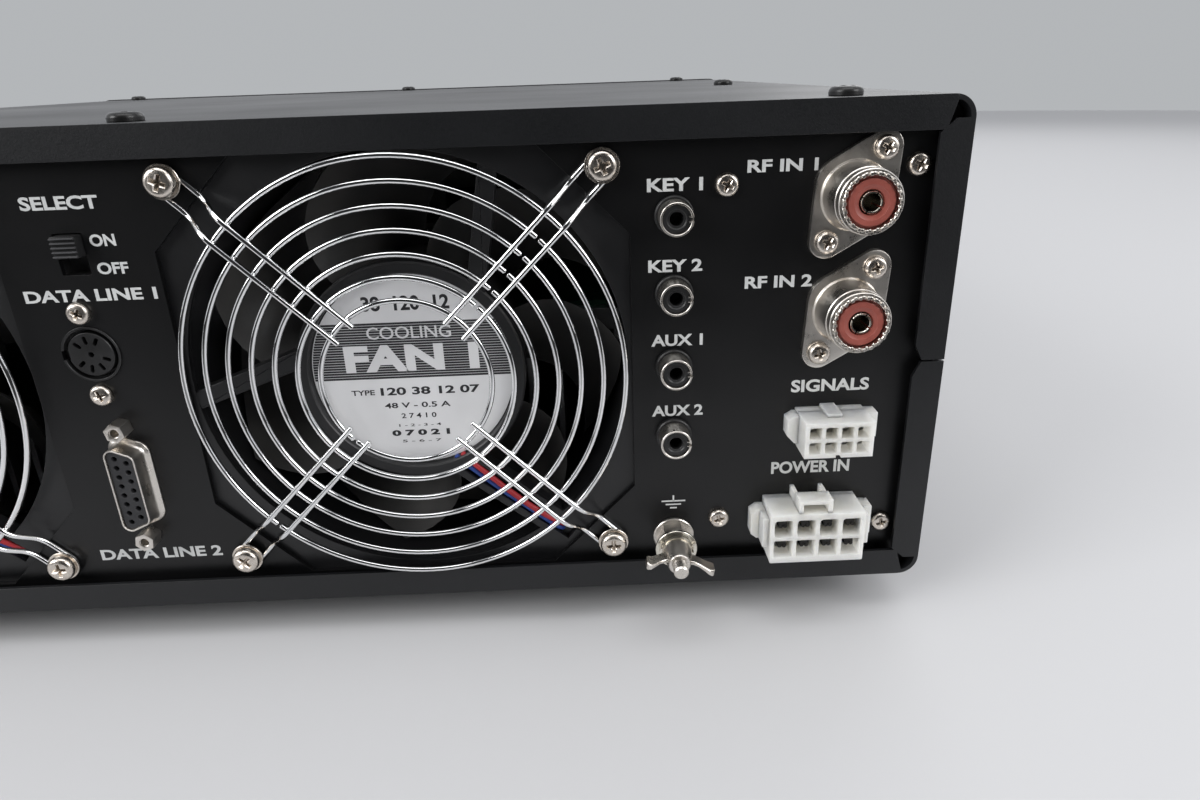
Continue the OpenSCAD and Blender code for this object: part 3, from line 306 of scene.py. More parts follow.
def plate(outlines, z0, z1, edge=0.0):
    """A flat plate with holes: the first outline is its rim, the others are its holes."""
    curve = bpy.data.curves.new("plate", "CURVE")
    curve.dimensions = "2D"
    curve.fill_mode = "BOTH"
    curve.extrude = (z1 - z0) / 2 - edge
    curve.bevel_depth = edge
    curve.bevel_resolution = 1
    curve.offset = -edge
    for outline in outlines:
        line = curve.splines.new("POLY")
        line.points.add(len(outline) - 1)
        line.use_cyclic_u = True
        for point, (x, y) in zip(line.points, outline):
            point.co = (x, y, 0, 1)
    return taken(add_object("plate", curve), 1, (0, 0, (z0 + z1) / 2))


def soft_copy(node, material, edge=0.0):
    """A CAD node with its sharp edges rounded by edge, standing for that node."""
    name = node + "_finish"
    mesh = frame["nodes"][node].data.copy()
    mesh.name = name
    obj = add_object(name, weld(mesh, 1e-6, outwards=False))
    if edge:
        bevel = obj.modifiers.new("edges", "BEVEL")
        bevel.width = edge * MM
        bevel.segments = 2
        bevel.limit_method = "ANGLE"
        bevel.angle_limit = math.radians(40)
        bevel.use_clamp_overlap = False
        obj.data = applied(obj)
        obj.modifiers.clear()
    finish(obj, material, "case", [node])


# ---- materials ----
def emptied(owner):
    """The node tree of a material or world, with nothing in it."""
    owner.use_nodes = True
    owner.node_tree.nodes.clear()
    return owner.node_tree


def feed(tree, socket, value):
    """Links another node's output to an input, or sets a plain value."""
    if isinstance(value, bpy.types.NodeSocket):
        tree.links.new(value, socket)
    else:
        socket.default_value = value


def add_node(tree, kind, **given):
    """A shader node: names in small letters are its settings, and the others are its inputs."""
    made = tree.nodes.new("ShaderNode" + kind)
    for key, value in given.items():
        if key[0].islower():
            setattr(made, key, value)
        else:
            feed(tree, made.inputs[key.replace("_", " ")], value)
    return made


def combine(tree, kind, operation, a, b):
    """What a Math or VectorMath node makes of two inputs."""
    made = add_node(tree, kind, operation=operation)
    feed(tree, made.inputs[0], a)
    feed(tree, made.inputs[1], b)
    return made.outputs["Value"]


def ramp(tree, source, low, high, a, b, interpolation="LINEAR"):
    """A value that goes from a to b while the source goes from low to high."""
    made = add_node(tree, "MapRange", interpolation_type=interpolation, Value=source,
                    From_Min=low, From_Max=high, To_Min=a, To_Max=b)
    return made.outputs["Result"]


def shared(tree, output, share, first, second):
    """Ends a tree in two shaders, of which the second has the share."""
    mix = add_node(tree, "MixShader", Fac=share)
    feed(tree, mix.inputs[1], first.outputs[0])
    feed(tree, mix.inputs[2], second.outputs[0])
    add_node(tree, output, Surface=mix.outputs[0])


def paint(name, dark, light, rough, metal=0.0, grain=None, blotch=60.0, dents=None, brushed=None, **shader):
    """A surface that wanders between two colours and two roughnesses, with a fine grain in relief.

    grain and dents are (size in mm, depth in mm); blotch is the size in mm of the slow changes of tone;
    brushed is the axis, 0 to 2, along which the grain is drawn out.
    """
    mat = bpy.data.materials.new(name)
    tree = emptied(mat)
    spot = add_node(tree, "TexCoord").outputs["Object"]

    def noise(size, detail, stretch=None):
        source = spot
        if stretch is not None:
            scale = [1.0, 1.0, 1.0]
            scale[stretch] = 0.04
            source = add_node(tree, "Mapping", Vector=spot, Scale=scale).outputs["Vector"]
        return add_node(tree, "TexNoise", Vector=source, Scale=1 / (size * MM), Detail=detail).outputs["Fac"]

    fine = noise(grain[0] if grain else 1.5, 2.0, brushed)
    slow = ramp(tree, noise(blotch, 4.0), 0.3, 0.7, 0.0, 0.7)
    both = combine(tree, "Math", "ADD", slow, ramp(tree, fine, 0.3, 0.7, 0.0, 0.3))
    tone = add_node(tree, "Mix", data_type="RGBA", A=(*dark, 1), B=(*light, 1), Factor=both)
    bsdf = add_node(tree, "BsdfPrincipled", Metallic=metal, Base_Color=tone.outputs["Result"],
                    Roughness=ramp(tree, both, 0.1, 0.9, *rough), **shader)
    normal = bsdf.inputs["Normal"]
    for relief, source in ((grain, fine), (dents, None)):
        if relief:
            bump = add_node(tree, "Bump", Strength=1.0, Distance=relief[1] * MM,
                            Height=source or noise(relief[0], 2.0))
            tree.links.new(bump.outputs["Normal"], normal)
            normal = bump.inputs["Normal"]
    add_node(tree, "OutputMaterial", Surface=bsdf.outputs["BSDF"])
    return mat


COVER = paint("cover_black", (0.006, 0.0065, 0.0075), (0.011, 0.0115, 0.013), (0.36, 0.48),
              grain=(0.45, 0.035), dents=(1.6, 0.03), blotch=90, Specular_IOR_Level=0.42)
PANEL = paint("panel_black", (0.003, 0.003, 0.0034), (0.006, 0.006, 0.0065), (0.30, 0.40), grain=(0.3, 0.006),
              blotch=70, Specular_IOR_Level=0.4)
FRONT = paint("front_black", (0.022, 0.022, 0.024), (0.034, 0.034, 0.037), (0.4, 0.52), grain=(0.35, 0.012))
STEEL = paint("chassis_steel", (0.52, 0.52, 0.50), (0.66, 0.66, 0.63), (0.3, 0.45), 1.0, grain=(0.5, 0.002),
              brushed=1)
BLACK_SCREW = paint("screw_black", (0.012, 0.012, 0.012), (0.03, 0.03, 0.03), (0.22, 0.38), 0.4,
                    grain=(0.4, 0.006))
NICKEL_SCREW = paint("screw_nickel", (0.62, 0.56, 0.50), (0.80, 0.74, 0.67), (0.20, 0.36), 1.0,
                     grain=(0.35, 0.006), blotch=3)
CHROME = paint("guard_chrome", (0.80, 0.81, 0.82), (0.92, 0.92, 0.92), (0.03, 0.09), 1.0, grain=(0.8, 0.003),
               blotch=12)
NICKEL = paint("nickel", (0.66, 0.62, 0.57), (0.82, 0.78, 0.73), (0.24, 0.38), 1.0, grain=(0.3, 0.006),
               blotch=5)
FAN = paint("fan_plastic", (0.007, 0.007, 0.008), (0.014, 0.014, 0.015), (0.3, 0.44), grain=(0.25, 0.008),
            blotch=25)
BLADE = paint("blade_plastic", (0.030, 0.030, 0.031), (0.062, 0.059, 0.056), (0.30, 0.44), grain=(0.3, 0.006),
              blotch=18)
LABEL = paint("label_silver", (0.78, 0.78, 0.79), (0.86, 0.86, 0.87), (0.34, 0.46), 0.1, grain=(0.12, 0.003),
              blotch=14)
INK = paint("label_ink", (0.012, 0.012, 0.014), (0.03, 0.03, 0.034), (0.4, 0.5), blotch=4)
LEGEND = paint("legend_white", (0.55, 0.56, 0.56), (0.66, 0.67, 0.66), (0.5, 0.62), grain=(0.15, 0.01),
               blotch=2)
RED_LEAD = paint("lead_red", (0.42, 0.02, 0.03), (0.55, 0.035, 0.045), (0.34, 0.46), blotch=5)
BLUE_LEAD = paint("lead_blue", (0.02, 0.06, 0.28), (0.035, 0.085, 0.36), (0.34, 0.46), blotch=5)
PHENOLIC = paint("phenolic", (0.25, 0.055, 0.04), (0.35, 0.085, 0.062), (0.38, 0.52), grain=(0.2, 0.01),
                 blotch=4)
SILVER = paint("contact_silver", (0.66, 0.62, 0.54), (0.84, 0.81, 0.73), (0.12, 0.26), 1.0,
               grain=(0.3, 0.004), blotch=3)
BLACK = paint("black_plastic", (0.010, 0.010, 0.010), (0.020, 0.020, 0.021), (0.3, 0.44), grain=(0.3, 0.006),
              blotch=8)
INSERT = paint("insert_plastic", (0.014, 0.014, 0.016), (0.03, 0.03, 0.033), (0.32, 0.46), grain=(0.3, 0.008),
               blotch=5)
NYLON = paint("nylon_white", (0.80, 0.772, 0.675), (0.88, 0.852, 0.765), (0.36, 0.5), grain=(0.5, 0.01),
              blotch=6, Subsurface_Weight=1.0, Subsurface_Scale=0.012, Subsurface_Radius=(1.0, 0.95, 0.85))
# painted shade: the tin contacts and the tabs behind them are coloured nearly black, for the shade in the deep
# cells round them
TIN_PAINTED_SHADE = paint("contact_tin", (0.005, 0.0045, 0.004), (0.02, 0.018, 0.014), (0.3, 0.5), 0.3, grain=(0.4, 0.01),
            blotch=2)
RUBBER = paint("rubber_black", (0.014, 0.014, 0.014), (0.026, 0.026, 0.026), (0.65, 0.8), grain=(0.5, 0.03))
WINDOW = paint("window", (0.004, 0.005, 0.007), (0.007, 0.009, 0.012), (0.04, 0.08), blotch=80,
               Coat_Weight=0.6)
BOARD = paint("board_green", (0.008, 0.06, 0.03), (0.015, 0.10, 0.05), (0.25, 0.4), grain=(0.8, 0.02),
              blotch=12)
KEY = paint("key_grey", (0.055, 0.055, 0.058), (0.075, 0.075, 0.078), (0.4, 0.52), grain=(0.3, 0.01),
            blotch=10)
KNOB = paint("knob_black", (0.018, 0.018, 0.019), (0.032, 0.032, 0.034), (0.28, 0.42), grain=(0.3, 0.006),
             blotch=9)
ALUMINIUM = paint("aluminium", (0.56, 0.57, 0.58), (0.72, 0.73, 0.74), (0.3, 0.46), 1.0, grain=(0.5, 0.004),
                  brushed=1)
CERAMIC = paint("ceramic_white", (0.70, 0.67, 0.60), (0.80, 0.78, 0.72), (0.5, 0.65), grain=(0.3, 0.01))
FERRITE = paint("ferrite", (0.035, 0.033, 0.03), (0.06, 0.056, 0.052), (0.55, 0.7), grain=(0.4, 0.02))
COPPER = paint("coil_copper", (0.42, 0.14, 0.05), (0.62, 0.25, 0.10), (0.22, 0.38), 0.8, grain=(0.9, 0.15),
               brushed=2)
RELAY = paint("relay_case", (0.62, 0.62, 0.58), (0.72, 0.72, 0.68), (0.25, 0.38), grain=(0.6, 0.01), blotch=8)

# ---- camera, light and floor ----
CAMERA_AT = (-0.1090, 0.3945, 0.15145)
CAMERA_RIGHT = (-0.99905, 0.02840, -0.03293)
CAMERA_UP = (-0.04117, -0.37436, 0.92637)
CAMERA_BACK = (0.01398, 0.92685, 0.37518)
LENS = 24.35


def camera():
    data = bpy.data.cameras.new("camera")
    data.lens = LENS
    data.sensor_width = 36
    data.clip_start = 0.01
    obj = add_object("camera", data)
    turn = Matrix((CAMERA_RIGHT, CAMERA_UP, CAMERA_BACK)).transposed()
    obj.matrix_world = Matrix.Translation(CAMERA_AT) @ turn.to_4x4()
    bpy.context.scene.camera = obj


LAMPS = (   # name, place, what it is turned to, width and height in metres, watts
    ("overhead", (-0.1, 0.45, 1.5), (0, 0.15, 0.05), (1.6, 0.8), 9),
    ("left_side", (1.5, 1.1, 1.0), (0, 0.2, 0.08), (1.1, 1.1), 24),
    ("right_side", (-1.6, 1.1, 1.0), (-0.1, 0.2, 0.08), (1.1, 1.1), 19),
    ("front_fill", (-0.9, -1.3, 1.0), (0, -0.1, 0.08), (1.0, 1.0), 5))
DARK_WAY = Vector((0.05, 0.93, 0.37)).normalized()   # where the unlit end of the room lies
DARK_CORE, DARK_RIM = 0.8, 0.35   # cosines: darkest within the first, lit beyond the second
ROOM_LIT, ROOM_DARK = 0.78, 0.03
# painted shade in reflections: beyond these Y, what shiny parts reflect of the floor is a near-black surface
FLOOR_LIT, FLOOR_DARK = 0.30, 0.48   # the floor's own Y where reflections of it fade
FLOOR_R = 2600


def lamp(name, at, aim, size, watts):
    data = bpy.data.lights.new(name, "AREA")
    data.shape = "RECTANGLE"
    data.size, data.size_y = size
    data.energy = watts
    obj = add_object(name, data)
    obj.location = at
    obj.rotation_euler = (Vector(aim) - Vector(at)).to_track_quat("-Z", "Y").to_euler()


def backdrop(name, colour):
    """A pale surface that takes shadows; reflections show it pale near the object, and farther off they show a
    painted shade: a near-black surface put in its place for reflected rays only.
    """
    mat = bpy.data.materials.new(name)
    tree = emptied(mat)
    cloud = add_node(tree, "TexNoise", Scale=1.5).outputs["Fac"]
    darker = [c * 0.97 for c in colour]
    tone = add_node(tree, "Mix", data_type="RGBA", A=(*darker, 1), B=(*colour, 1), Factor=cloud)
    pale = add_node(tree, "BsdfPrincipled", Base_Color=tone.outputs["Result"], Roughness=0.75,
                    Specular_IOR_Level=0.2)
    # painted shade: reflected rays that reach the floor's far part see this near-black surface instead of the
    # pale one
    unlit = add_node(tree, "BsdfDiffuse", Color=(0.02, 0.02, 0.02, 1))
    where = add_node(tree, "SeparateXYZ", Vector=add_node(tree, "TexCoord").outputs["Object"])
    far = ramp(tree, where.outputs["Y"], FLOOR_LIT, FLOOR_DARK, 0.0, 1.0, "SMOOTHSTEP")
    glossy = add_node(tree, "LightPath").outputs["Is Glossy Ray"]
    shared(tree, "OutputMaterial", combine(tree, "Math", "MULTIPLY", far, glossy), pale, unlit)
    return mat


def stage():
    """A pale floor under a pale room with one unlit end, which black paint and bright metal reflect."""
    disc = Form().lathe([(FLOOR_R, -2), (FLOOR_R, 0)], steps=96)
    floor = add_object("floor", to_mesh(disc, "floor"))
    floor.data.materials.append(backdrop("floor_pale", (0.57, 0.57, 0.58)))
    world = bpy.data.worlds.new("room")
    bpy.context.scene.world = world
    tree = emptied(world)
    way = add_node(tree, "TexCoord").outputs["Generated"]
    along = combine(tree, "VectorMath", "DOT_PRODUCT", way, DARK_WAY)
    strength = ramp(tree, along, DARK_RIM, DARK_CORE, ROOM_LIT, ROOM_DARK, "SMOOTHSTEP")
    lit = add_node(tree, "Background", Color=(0.94, 0.96, 1.0, 1), Strength=strength)
    seen = add_node(tree, "Background", Color=(0.455, 0.47, 0.485, 1))
    path = add_node(tree, "LightPath").outputs
    direct = combine(tree, "Math", "MAXIMUM", path["Is Camera Ray"], path["Is Transmission Ray"])
    shared(tree, "OutputWorld", direct, lit, seen)
    for settings in LAMPS:
        lamp(*settings)
    bpy.context.scene.view_settings.view_transform = "Standard"


camera()
stage()


# ---- case ----
def case():
    soft_copy("top_cover", COVER, edge=0.08)
    soft_copy("bottom_cover", COVER, edge=0.08)
    soft_copy("front_panel", FRONT)
    soft_copy("chassis", STEEL)


def pan_screw(head_d, head_h):
    """A pan-headed cross-slot screw, its underside at height 0."""
    r = head_d / 2
    flat, side = r * 0.6, head_h * 0.38
    round_edge = [(flat + (r - flat) * math.sin(a), side + head_h * 0.57 * math.cos(a))
                  for a in [math.radians(degrees) for degrees in range(84, 0, -12)]]
    profile = [(0.2, -0.4), (r * 0.5, -0.4), (r * 0.5, 0.0), (r * 0.96, 0.0), (r, head_h * 0.08), (r, side)]
    head = Form().lathe(profile + round_edge + [(flat * 0.6, head_h * 0.985), (0.05, head_h)], steps=40)
    lip = head_d * 0.045
    mouth, over = head_h - lip, lip + 0.4
    sizes = ((r * 0.24, r * 0.05, head_h * 0.2), (r * 0.5, r * 0.11, mouth),
             (r * 0.5 + over, r * 0.11 + over, mouth + over))
    slot = [[(-a, -b, z), (a, -b, z), (a, b, z), (-a, b, z)] for a, b, z in sizes]
    arms = [Form().loft(slot, place=turned(turn)) for turn in (0, 90)]
    cone = Form().lathe([(0.02, head_h * 0.12), (r * 0.22, mouth), (r * 0.22 + over, mouth + over)], steps=16)
    return carve(head, cone, *arms)


SMALL_HEAD = (5.8, 2.1)
FLANGE_T = max(high.y for _, high in solids("socket_screws")) - PANEL_Y - SMALL_HEAD[1]


def screws():
    small = pan_screw(*SMALL_HEAD)
    for kind, height in (("panel", 0), ("socket", FLANGE_T), ("din", 0)):
        node = kind + "_screws"
        places = [rear(u, v, height, 17 + 45 * k) for k, (u, v) in enumerate(rear_centres(node))]
        piece(kind + "_screw_heads", Form().spread(small, places), NICKEL_SCREW, nodes=[node])
    cover_screw_heads()


def cover_screw_heads():
    big = pan_screw(8.4, 2.36)
    form = Form()
    top_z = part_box("top_cover")[1].z / MM
    side_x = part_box("top_cover")[1].x / MM
    for k, (low, high) in enumerate(solids("cover_screws")):
        middle = (low + high) / 2
        spin = turned(37 * k)
        if high.z - low.z > high.x - low.x:
            form.put(big, Matrix.Translation((middle.x, middle.y, top_z)) @ spin)
        else:
            side = 1 if middle.x > 0 else -1
            lean = Matrix.Rotation(side * math.pi / 2, 4, "Y")
            form.put(big, Matrix.Translation((side * side_x, middle.y, middle.z)) @ lean @ spin)
    piece("cover_screw_heads", form, BLACK_SCREW, nodes=["cover_screws"])


def feet():
    form = Form()
    for low, high in solids("feet"):
        x, y = (low.x + high.x) / 2, (low.y + high.y) / 2
        r = (high.x - low.x) / 2
        base, top = r - 1.5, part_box("bottom_cover")[0].z / MM
        profile = [(0.3, 6.6), (5.0, 6.6), (5.5, 6.1), (5.5, 0.8), (6.0, 0.0), (base - 1.2, 0.0),
                   (base - 0.3, 0.3), (base, 1.2), (r, top - 0.8), (r - 0.4, top), (2.0, top),
                   (2.0, top + 7), (0.3, top + 7)]
        form.lathe(profile, steps=48, place=Matrix.Translation((x, y, 0)))
    piece("rubber_feet", form, RUBBER, nodes=["feet"])


# ---- wire guards ----
SCREW_PITCH = 105.0
SCREW_REACH = SCREW_PITCH / math.sqrt(2)
WIRE_R = 0.75
RING_R = 57.0
RING_STEP = 5.82
RING_COUNT = 7
RING_H = 4.8
END_GAP = 1.2          # between a ring's butt ends
OPEN_LOWER = (0, 6)    # rings whose ends meet in the lower left leg; the others meet in the upper right one
SUNK = 0.35            # how far a ring is pressed into a leg
LEG_H = RING_H + 2 * WIRE_R - SUNK
LEG_HALF = 3.0
LEG_START = RING_R - (RING_COUNT - 1) * RING_STEP - 2.6
LEG_BEND = 2.6


def guard(number, fan_right):
    form = Form()
    for k in range(RING_COUNT):
        r = RING_R - k * RING_STEP
        centre = 225 if k in OPEN_LOWER else 45
        cut = math.degrees(END_GAP / 2 / r)
        path = [(x, y, RING_H) for x, y in arc(0, 0, r, centre + cut, centre + 360 - cut, 120)]
        form.tube(path, WIRE_R, sides=14)
    loop = [(x, y, WIRE_R) for x, y in arc(SCREW_REACH, 0, LEG_HALF, -90, 90, 12)]
    half = [(LEG_START, LEG_H), (RING_R + 2, LEG_H), (RING_R + 8, WIRE_R), (SCREW_REACH - 3, WIRE_R)]
    way_in = rounded_path([(x, -LEG_HALF, z) for x, z in half], LEG_BEND)
    way_out = rounded_path([(x, LEG_HALF, z) for x, z in reversed(half)], LEG_BEND)
    for turn in (45, 135, 225, 315):
        form.tube(way_in + loop + way_out, WIRE_R, sides=14, place=turned(turn))
    placed = Form().put(form, rear(fan_right))
    piece(f"wire_guard_{number}", placed, CHROME, nodes=[f"guard_{number}"], smooth=50)


def guard_fasteners():
    head = pan_screw(7.5, 2.6)
    washer_t, wire = 0.6, 2 * WIRE_R
    washer = Form().lathe([(2.1, 0), (4.2, 0), (4.3, 0.12), (4.3, 0.5), (4.2, washer_t), (2.1, washer_t)],
                          steps=40, loop=True)
    heads, washers = Form(), Form()
    for k, (u, v) in enumerate(rear_centres("guard_screws")):
        heads.put(head, rear(u, v, wire + washer_t, 23 * k))
        washers.put(washer, rear(u, v, wire))
    piece("guard_screw_heads", heads, NICKEL_SCREW, nodes=["guard_screws"])
    piece("guard_screw_washers", washers, NICKEL_SCREW, nodes=["guard_washers"])


# ---- fans ----
LABEL_R = 27.0
LABEL_T = 0.3
LABEL_SINK = 3.0
DUCT_R = 58.0
HUB_R = 30.5
FLANGE = 5.0
FAN_DEPTH = 38.0
PLAIN_STRUTS = (80, 200)    # the ways that the plain struts point, in degrees
STRUT_OFFSET = 15.0         # clockwise from the hub's centre, as the channelled strut's is
STRUT_W = 5.0
CHANNEL = turned(320 - 90)  # the channelled strut's directions, with Y along it; the leads lie in it
CHANNEL_OFFSET = 13.0
CHANNEL_W = 8.5
GROOVE_W = 4.0
GROOVE_D = 2.0
LEAD_TURN = math.sqrt((DUCT_R + 2) ** 2 - CHANNEL_OFFSET ** 2) + 3.5


def screw_holes(right=0.0):
    """Outlines of the four holes round a fan."""
    half = SCREW_PITCH / 2
    return [circle(2.2, 24, right + sx * half, sy * half) for sx in (-1, 1) for sy in (-1, 1)]


def notched_duct():
    """The duct's outline with the leads' groove let into it, in the channelled strut's own directions."""
    left, right = CHANNEL_OFFSET - GROOVE_W / 2, CHANNEL_OFFSET + GROOVE_W / 2
    end = LEAD_TURN + 2
    start, stop = (math.degrees(math.acos(x / DUCT_R)) for x in (left, right))
    return arc(0, 0, DUCT_R, start, stop + 360, 96) + [(right, end), (left, end)]


def strut(offset, width, z0, z1, soft, place):
    """One straight bar from the hub to the duct."""
    end = math.sqrt(DUCT_R ** 2 - offset ** 2) + 0.6
    start = math.sqrt(HUB_R ** 2 - (abs(offset) + width / 2) ** 2) - 0.5
    return Form().prism(rounded(width, end - start, 0.3, 2, offset, (start + end) / 2), z0, z1, soft, place)


def fan_frame(number, fan_right):
    """Two square flanges, the duct between them, the hub's rim, two plain struts and a channelled one."""
    form = Form()
    holes = screw_holes()
    square = rounded(120, 120, 4, 6)
    notch = [tuple((CHANNEL @ Vector((x, y, 0)))[:2]) for x, y in notched_duct()]
    form.put(plate([square, notch] + holes, -GROOVE_D, 0, 0.25))
    form.put(plate([square, circle(DUCT_R, 96)] + holes, -FLANGE, -GROOVE_D, 0.1))
    form.put(plate([square, circle(DUCT_R, 96)] + holes, -FAN_DEPTH, FLANGE - FAN_DEPTH, 0.4))
    wall = DUCT_R + 2
    form.lathe([(DUCT_R + 0.05, -FLANGE + 0.4), (DUCT_R, -FLANGE), (DUCT_R, -FAN_DEPTH + 1),
                (wall, -FAN_DEPTH + 1), (wall, -FLANGE), (DUCT_R + 1, -FLANGE + 0.4)], steps=96, loop=True)
    sunk = LABEL_R + 0.3
    hub = [(0.3, -LABEL_SINK), (sunk - 0.3, -LABEL_SINK), (sunk, -LABEL_SINK + 0.3), (sunk, -0.3),
           (sunk + 0.3, 0.0), (HUB_R - 0.5, 0.0), (HUB_R, -0.5), (HUB_R, -FLANGE), (7, -FLANGE), (7, -26.6),
           (0.3, -26.6)]
    form.lathe(hub, steps=96)
    for angle in PLAIN_STRUTS:
        form.put(strut(STRUT_OFFSET, STRUT_W, -FLANGE, -0.1, 0.5, turned(angle - 90)))
    rib = (CHANNEL_W - GROOVE_W) / 2
    form.put(strut(CHANNEL_OFFSET, CHANNEL_W, -FLANGE, -GROOVE_D, 0.2, CHANNEL))
    for side in (-1, 1):
        offset = CHANNEL_OFFSET + side * (GROOVE_W + rib) / 2
        form.put(strut(offset, rib, -GROOVE_D - 0.3, -0.05, 0.35, CHANNEL))
    placed = Form().put(form, rear(fan_right, 0, PANEL_IN))
    piece(f"fan_{number}_frame", placed, FAN, nodes=[f"fan_frame_{number}"], smooth=40)


BLADES = 7
ROTOR_TOP = -6.0
ROTOR_BOTTOM = -36.0
CUP_R = 28.5
TIP_R = 56.8
SWEEP_R = 30          # from where the blades bow back
BLADE_NEAR = -9.0     # depth of the edge that trails, next to the struts
BLADE_DEEP = -34.5    # depth of the edge that leads
BLADE_REACH = 44      # degrees from the one to the other
BLADE_STARTS = {"1": 130.5, "2": 101.0}


def blade():
    """One swept blade: its trailing edge bows back towards the tip, and its face is dished."""
    sections, points = 12, 16
    rings = []
    for s in range(sections + 1):
        r = CUP_R - 0.4 + (TIP_R - CUP_R + 0.4) * s / sections
        out = max(r - SWEEP_R, 0) / (TIP_R - SWEEP_R)
        near = -25 * out ** 2.2
        reach = BLADE_REACH - 4 * out
        face, back = [], []
        for k in range(points + 1):
            c = k / points
            angle = math.radians(near - reach * c)
            z = BLADE_NEAR + (BLADE_DEEP - BLADE_NEAR) * (1 - (1 - c) ** 1.45)
            thick = 0.45 + 1.9 * (1 - abs(2 * c - 1) ** 2.4)
            face.append((r * math.cos(angle), r * math.sin(angle), z))
            back.append((r * math.cos(angle), r * math.sin(angle), max(z - thick, ROTOR_BOTTOM + 0.3)))
        rings.append(face + back[::-1])
    return rings


def fan_rotor(number, fan_right, start):
    form = Form()
    rings = blade()
    for k in range(BLADES):
        form.loft(rings, place=turned(start + k * 360 / BLADES))
    inner = CUP_R - 2
    cup = [(0.3, ROTOR_BOTTOM), (CUP_R - 3, ROTOR_BOTTOM), (CUP_R - 0.9, ROTOR_BOTTOM + 0.9),
           (CUP_R, ROTOR_BOTTOM + 3), (CUP_R, ROTOR_TOP - 0.4), (CUP_R - 0.4, ROTOR_TOP), (inner, ROTOR_TOP),
           (inner, ROTOR_BOTTOM + 2), (2, ROTOR_BOTTOM + 2), (2, -5.2), (0.3, -5.2)]
    form.lathe(cup, steps=96)
    placed = Form().put(form, rear(fan_right, 0, PANEL_IN))
    piece(f"fan_{number}_blades", placed, BLADE, f"fan_{number}_rotor", [f"fan_rotor_{number}"], smooth=40)


# ---- lettering ----
def lettering(text, left, right, base, cap, weight=0.0):
    """Plain letters as a thin skin: from left to right, standing on base, with that height of capital."""
    curve = bpy.data.curves.new("letters", "FONT")
    curve.body = text
    curve.offset = weight
    curve.resolution_u = 4
    flat = taken(add_object("letters", curve), 1)
    points = np.array(flat.verts)
    low, high = points.min(0), points.max(0)
    wide, tall = (right - left) / (high[0] - low[0]), cap / (high[1] - low[1])
    flat.verts = [(left + (x - low[0]) * wide, base + (y - low[1]) * tall, 0.0) for x, y, _ in points]
    return flat


LEGENDS = [   # left, right, base and height of the letters
    ("SELECT", -88.7, -69.7, 46.6, 3.3), ("ON", -74.2, -67.9, 37.45, 3.0), ("OFF", -74.1, -66.4, 30.45, 3.0),
    ("DATA LINE 1", -94.1, -60.9, 23.75, 3.1), ("DATA LINE 2", -94.7, -60.2, -52.3, 3.4),
    ("KEY 1", 63.4, 77.2, 45.55, 3.2), ("KEY 2", 63.5, 77.3, 25.45, 3.2),
    ("AUX 1", 64.1, 77.7, 5.6, 3.2), ("AUX 2", 64.1, 78.0, -14.5, 3.2),
    ("RF IN 1", 88.0, 105.4, 49.3, 3.0), ("RF IN 2", 88.3, 105.7, 20.3, 3.2),
    ("SIGNALS", 101.9, 123.1, -9.05, 3.6), ("POWER IN", 97.6, 119.7, -33.65, 3.8),
]
EARTH_MARK = ((3.4, 0.0), (2.2, -1.1), (1.0, -2.2))   # half length and drop of each bar, from the top one
EARTH_AT = (70.0, -40.9)
EARTH_LINE = 0.45
BOLD = 0.032           # how much the panel's letters are thickened, in letter sizes
INK_T = 0.03           # how far print lies off what it is on


def legends():
    form = Form()
    for text, left, right, base, cap in LEGENDS:
        form.put(lettering(text, left, right, base, cap, BOLD))
    x, y = EARTH_AT
    for half, drop in EARTH_MARK:
        form.put(flat_bar(x, y + drop, 2 * half, EARTH_LINE))
    form.put(flat_bar(x, y + 0.9, EARTH_LINE, 1.8))
    for k, (right, up) in enumerate(ANTENNAS):
        form.put(lettering(f"RF OUT {k + 1}", right - 24, right - 11.4, up + 3.2, 2.5, BOLD))
    piece("panel_legends", Form().put(form, rear(0, 0, INK_T)), LEGEND)


def flat_bar(x, y, w, h):
    a, b = w / 2, h / 2
    corners = [(x - a, y - b, 0), (x + a, y - b, 0), (x + a, y + b, 0), (x - a, y + b, 0)]
    return Form().add(corners, [(0, 1, 2, 3)])


BAND = (13.9, -2.3)      # top and foot of the label's striped band
STRIPE = 0.72
LABEL_TEXT = (  # left, right, base and height of the letters, and how bold they are
    ("38  120  12", -11.5, 11.5, 17.0, 4.0, 0.03), ("TYPE", -17.5, -11.2, -6.5, 1.5, 0.02),
    ("120 38 12 07", -9.6, 17.4, -6.8, 2.3, 0.03), ("48 V - 0.5 A", -9.0, 9.0, -10.6, 1.6, 0.02),
    ("2 7 4 1 0", -4.8, 4.8, -13.7, 1.5, 0.02), ("1 - 2 - 3 - 4", -5.8, 5.8, -16.2, 0.8, 0.01),
    ("0 7 0 2 1", -8.0, 8.0, -19.0, 1.8, 0.05), ("5 - 6 - 7", -5.4, 5.4, -21.0, 0.8, 0.01))


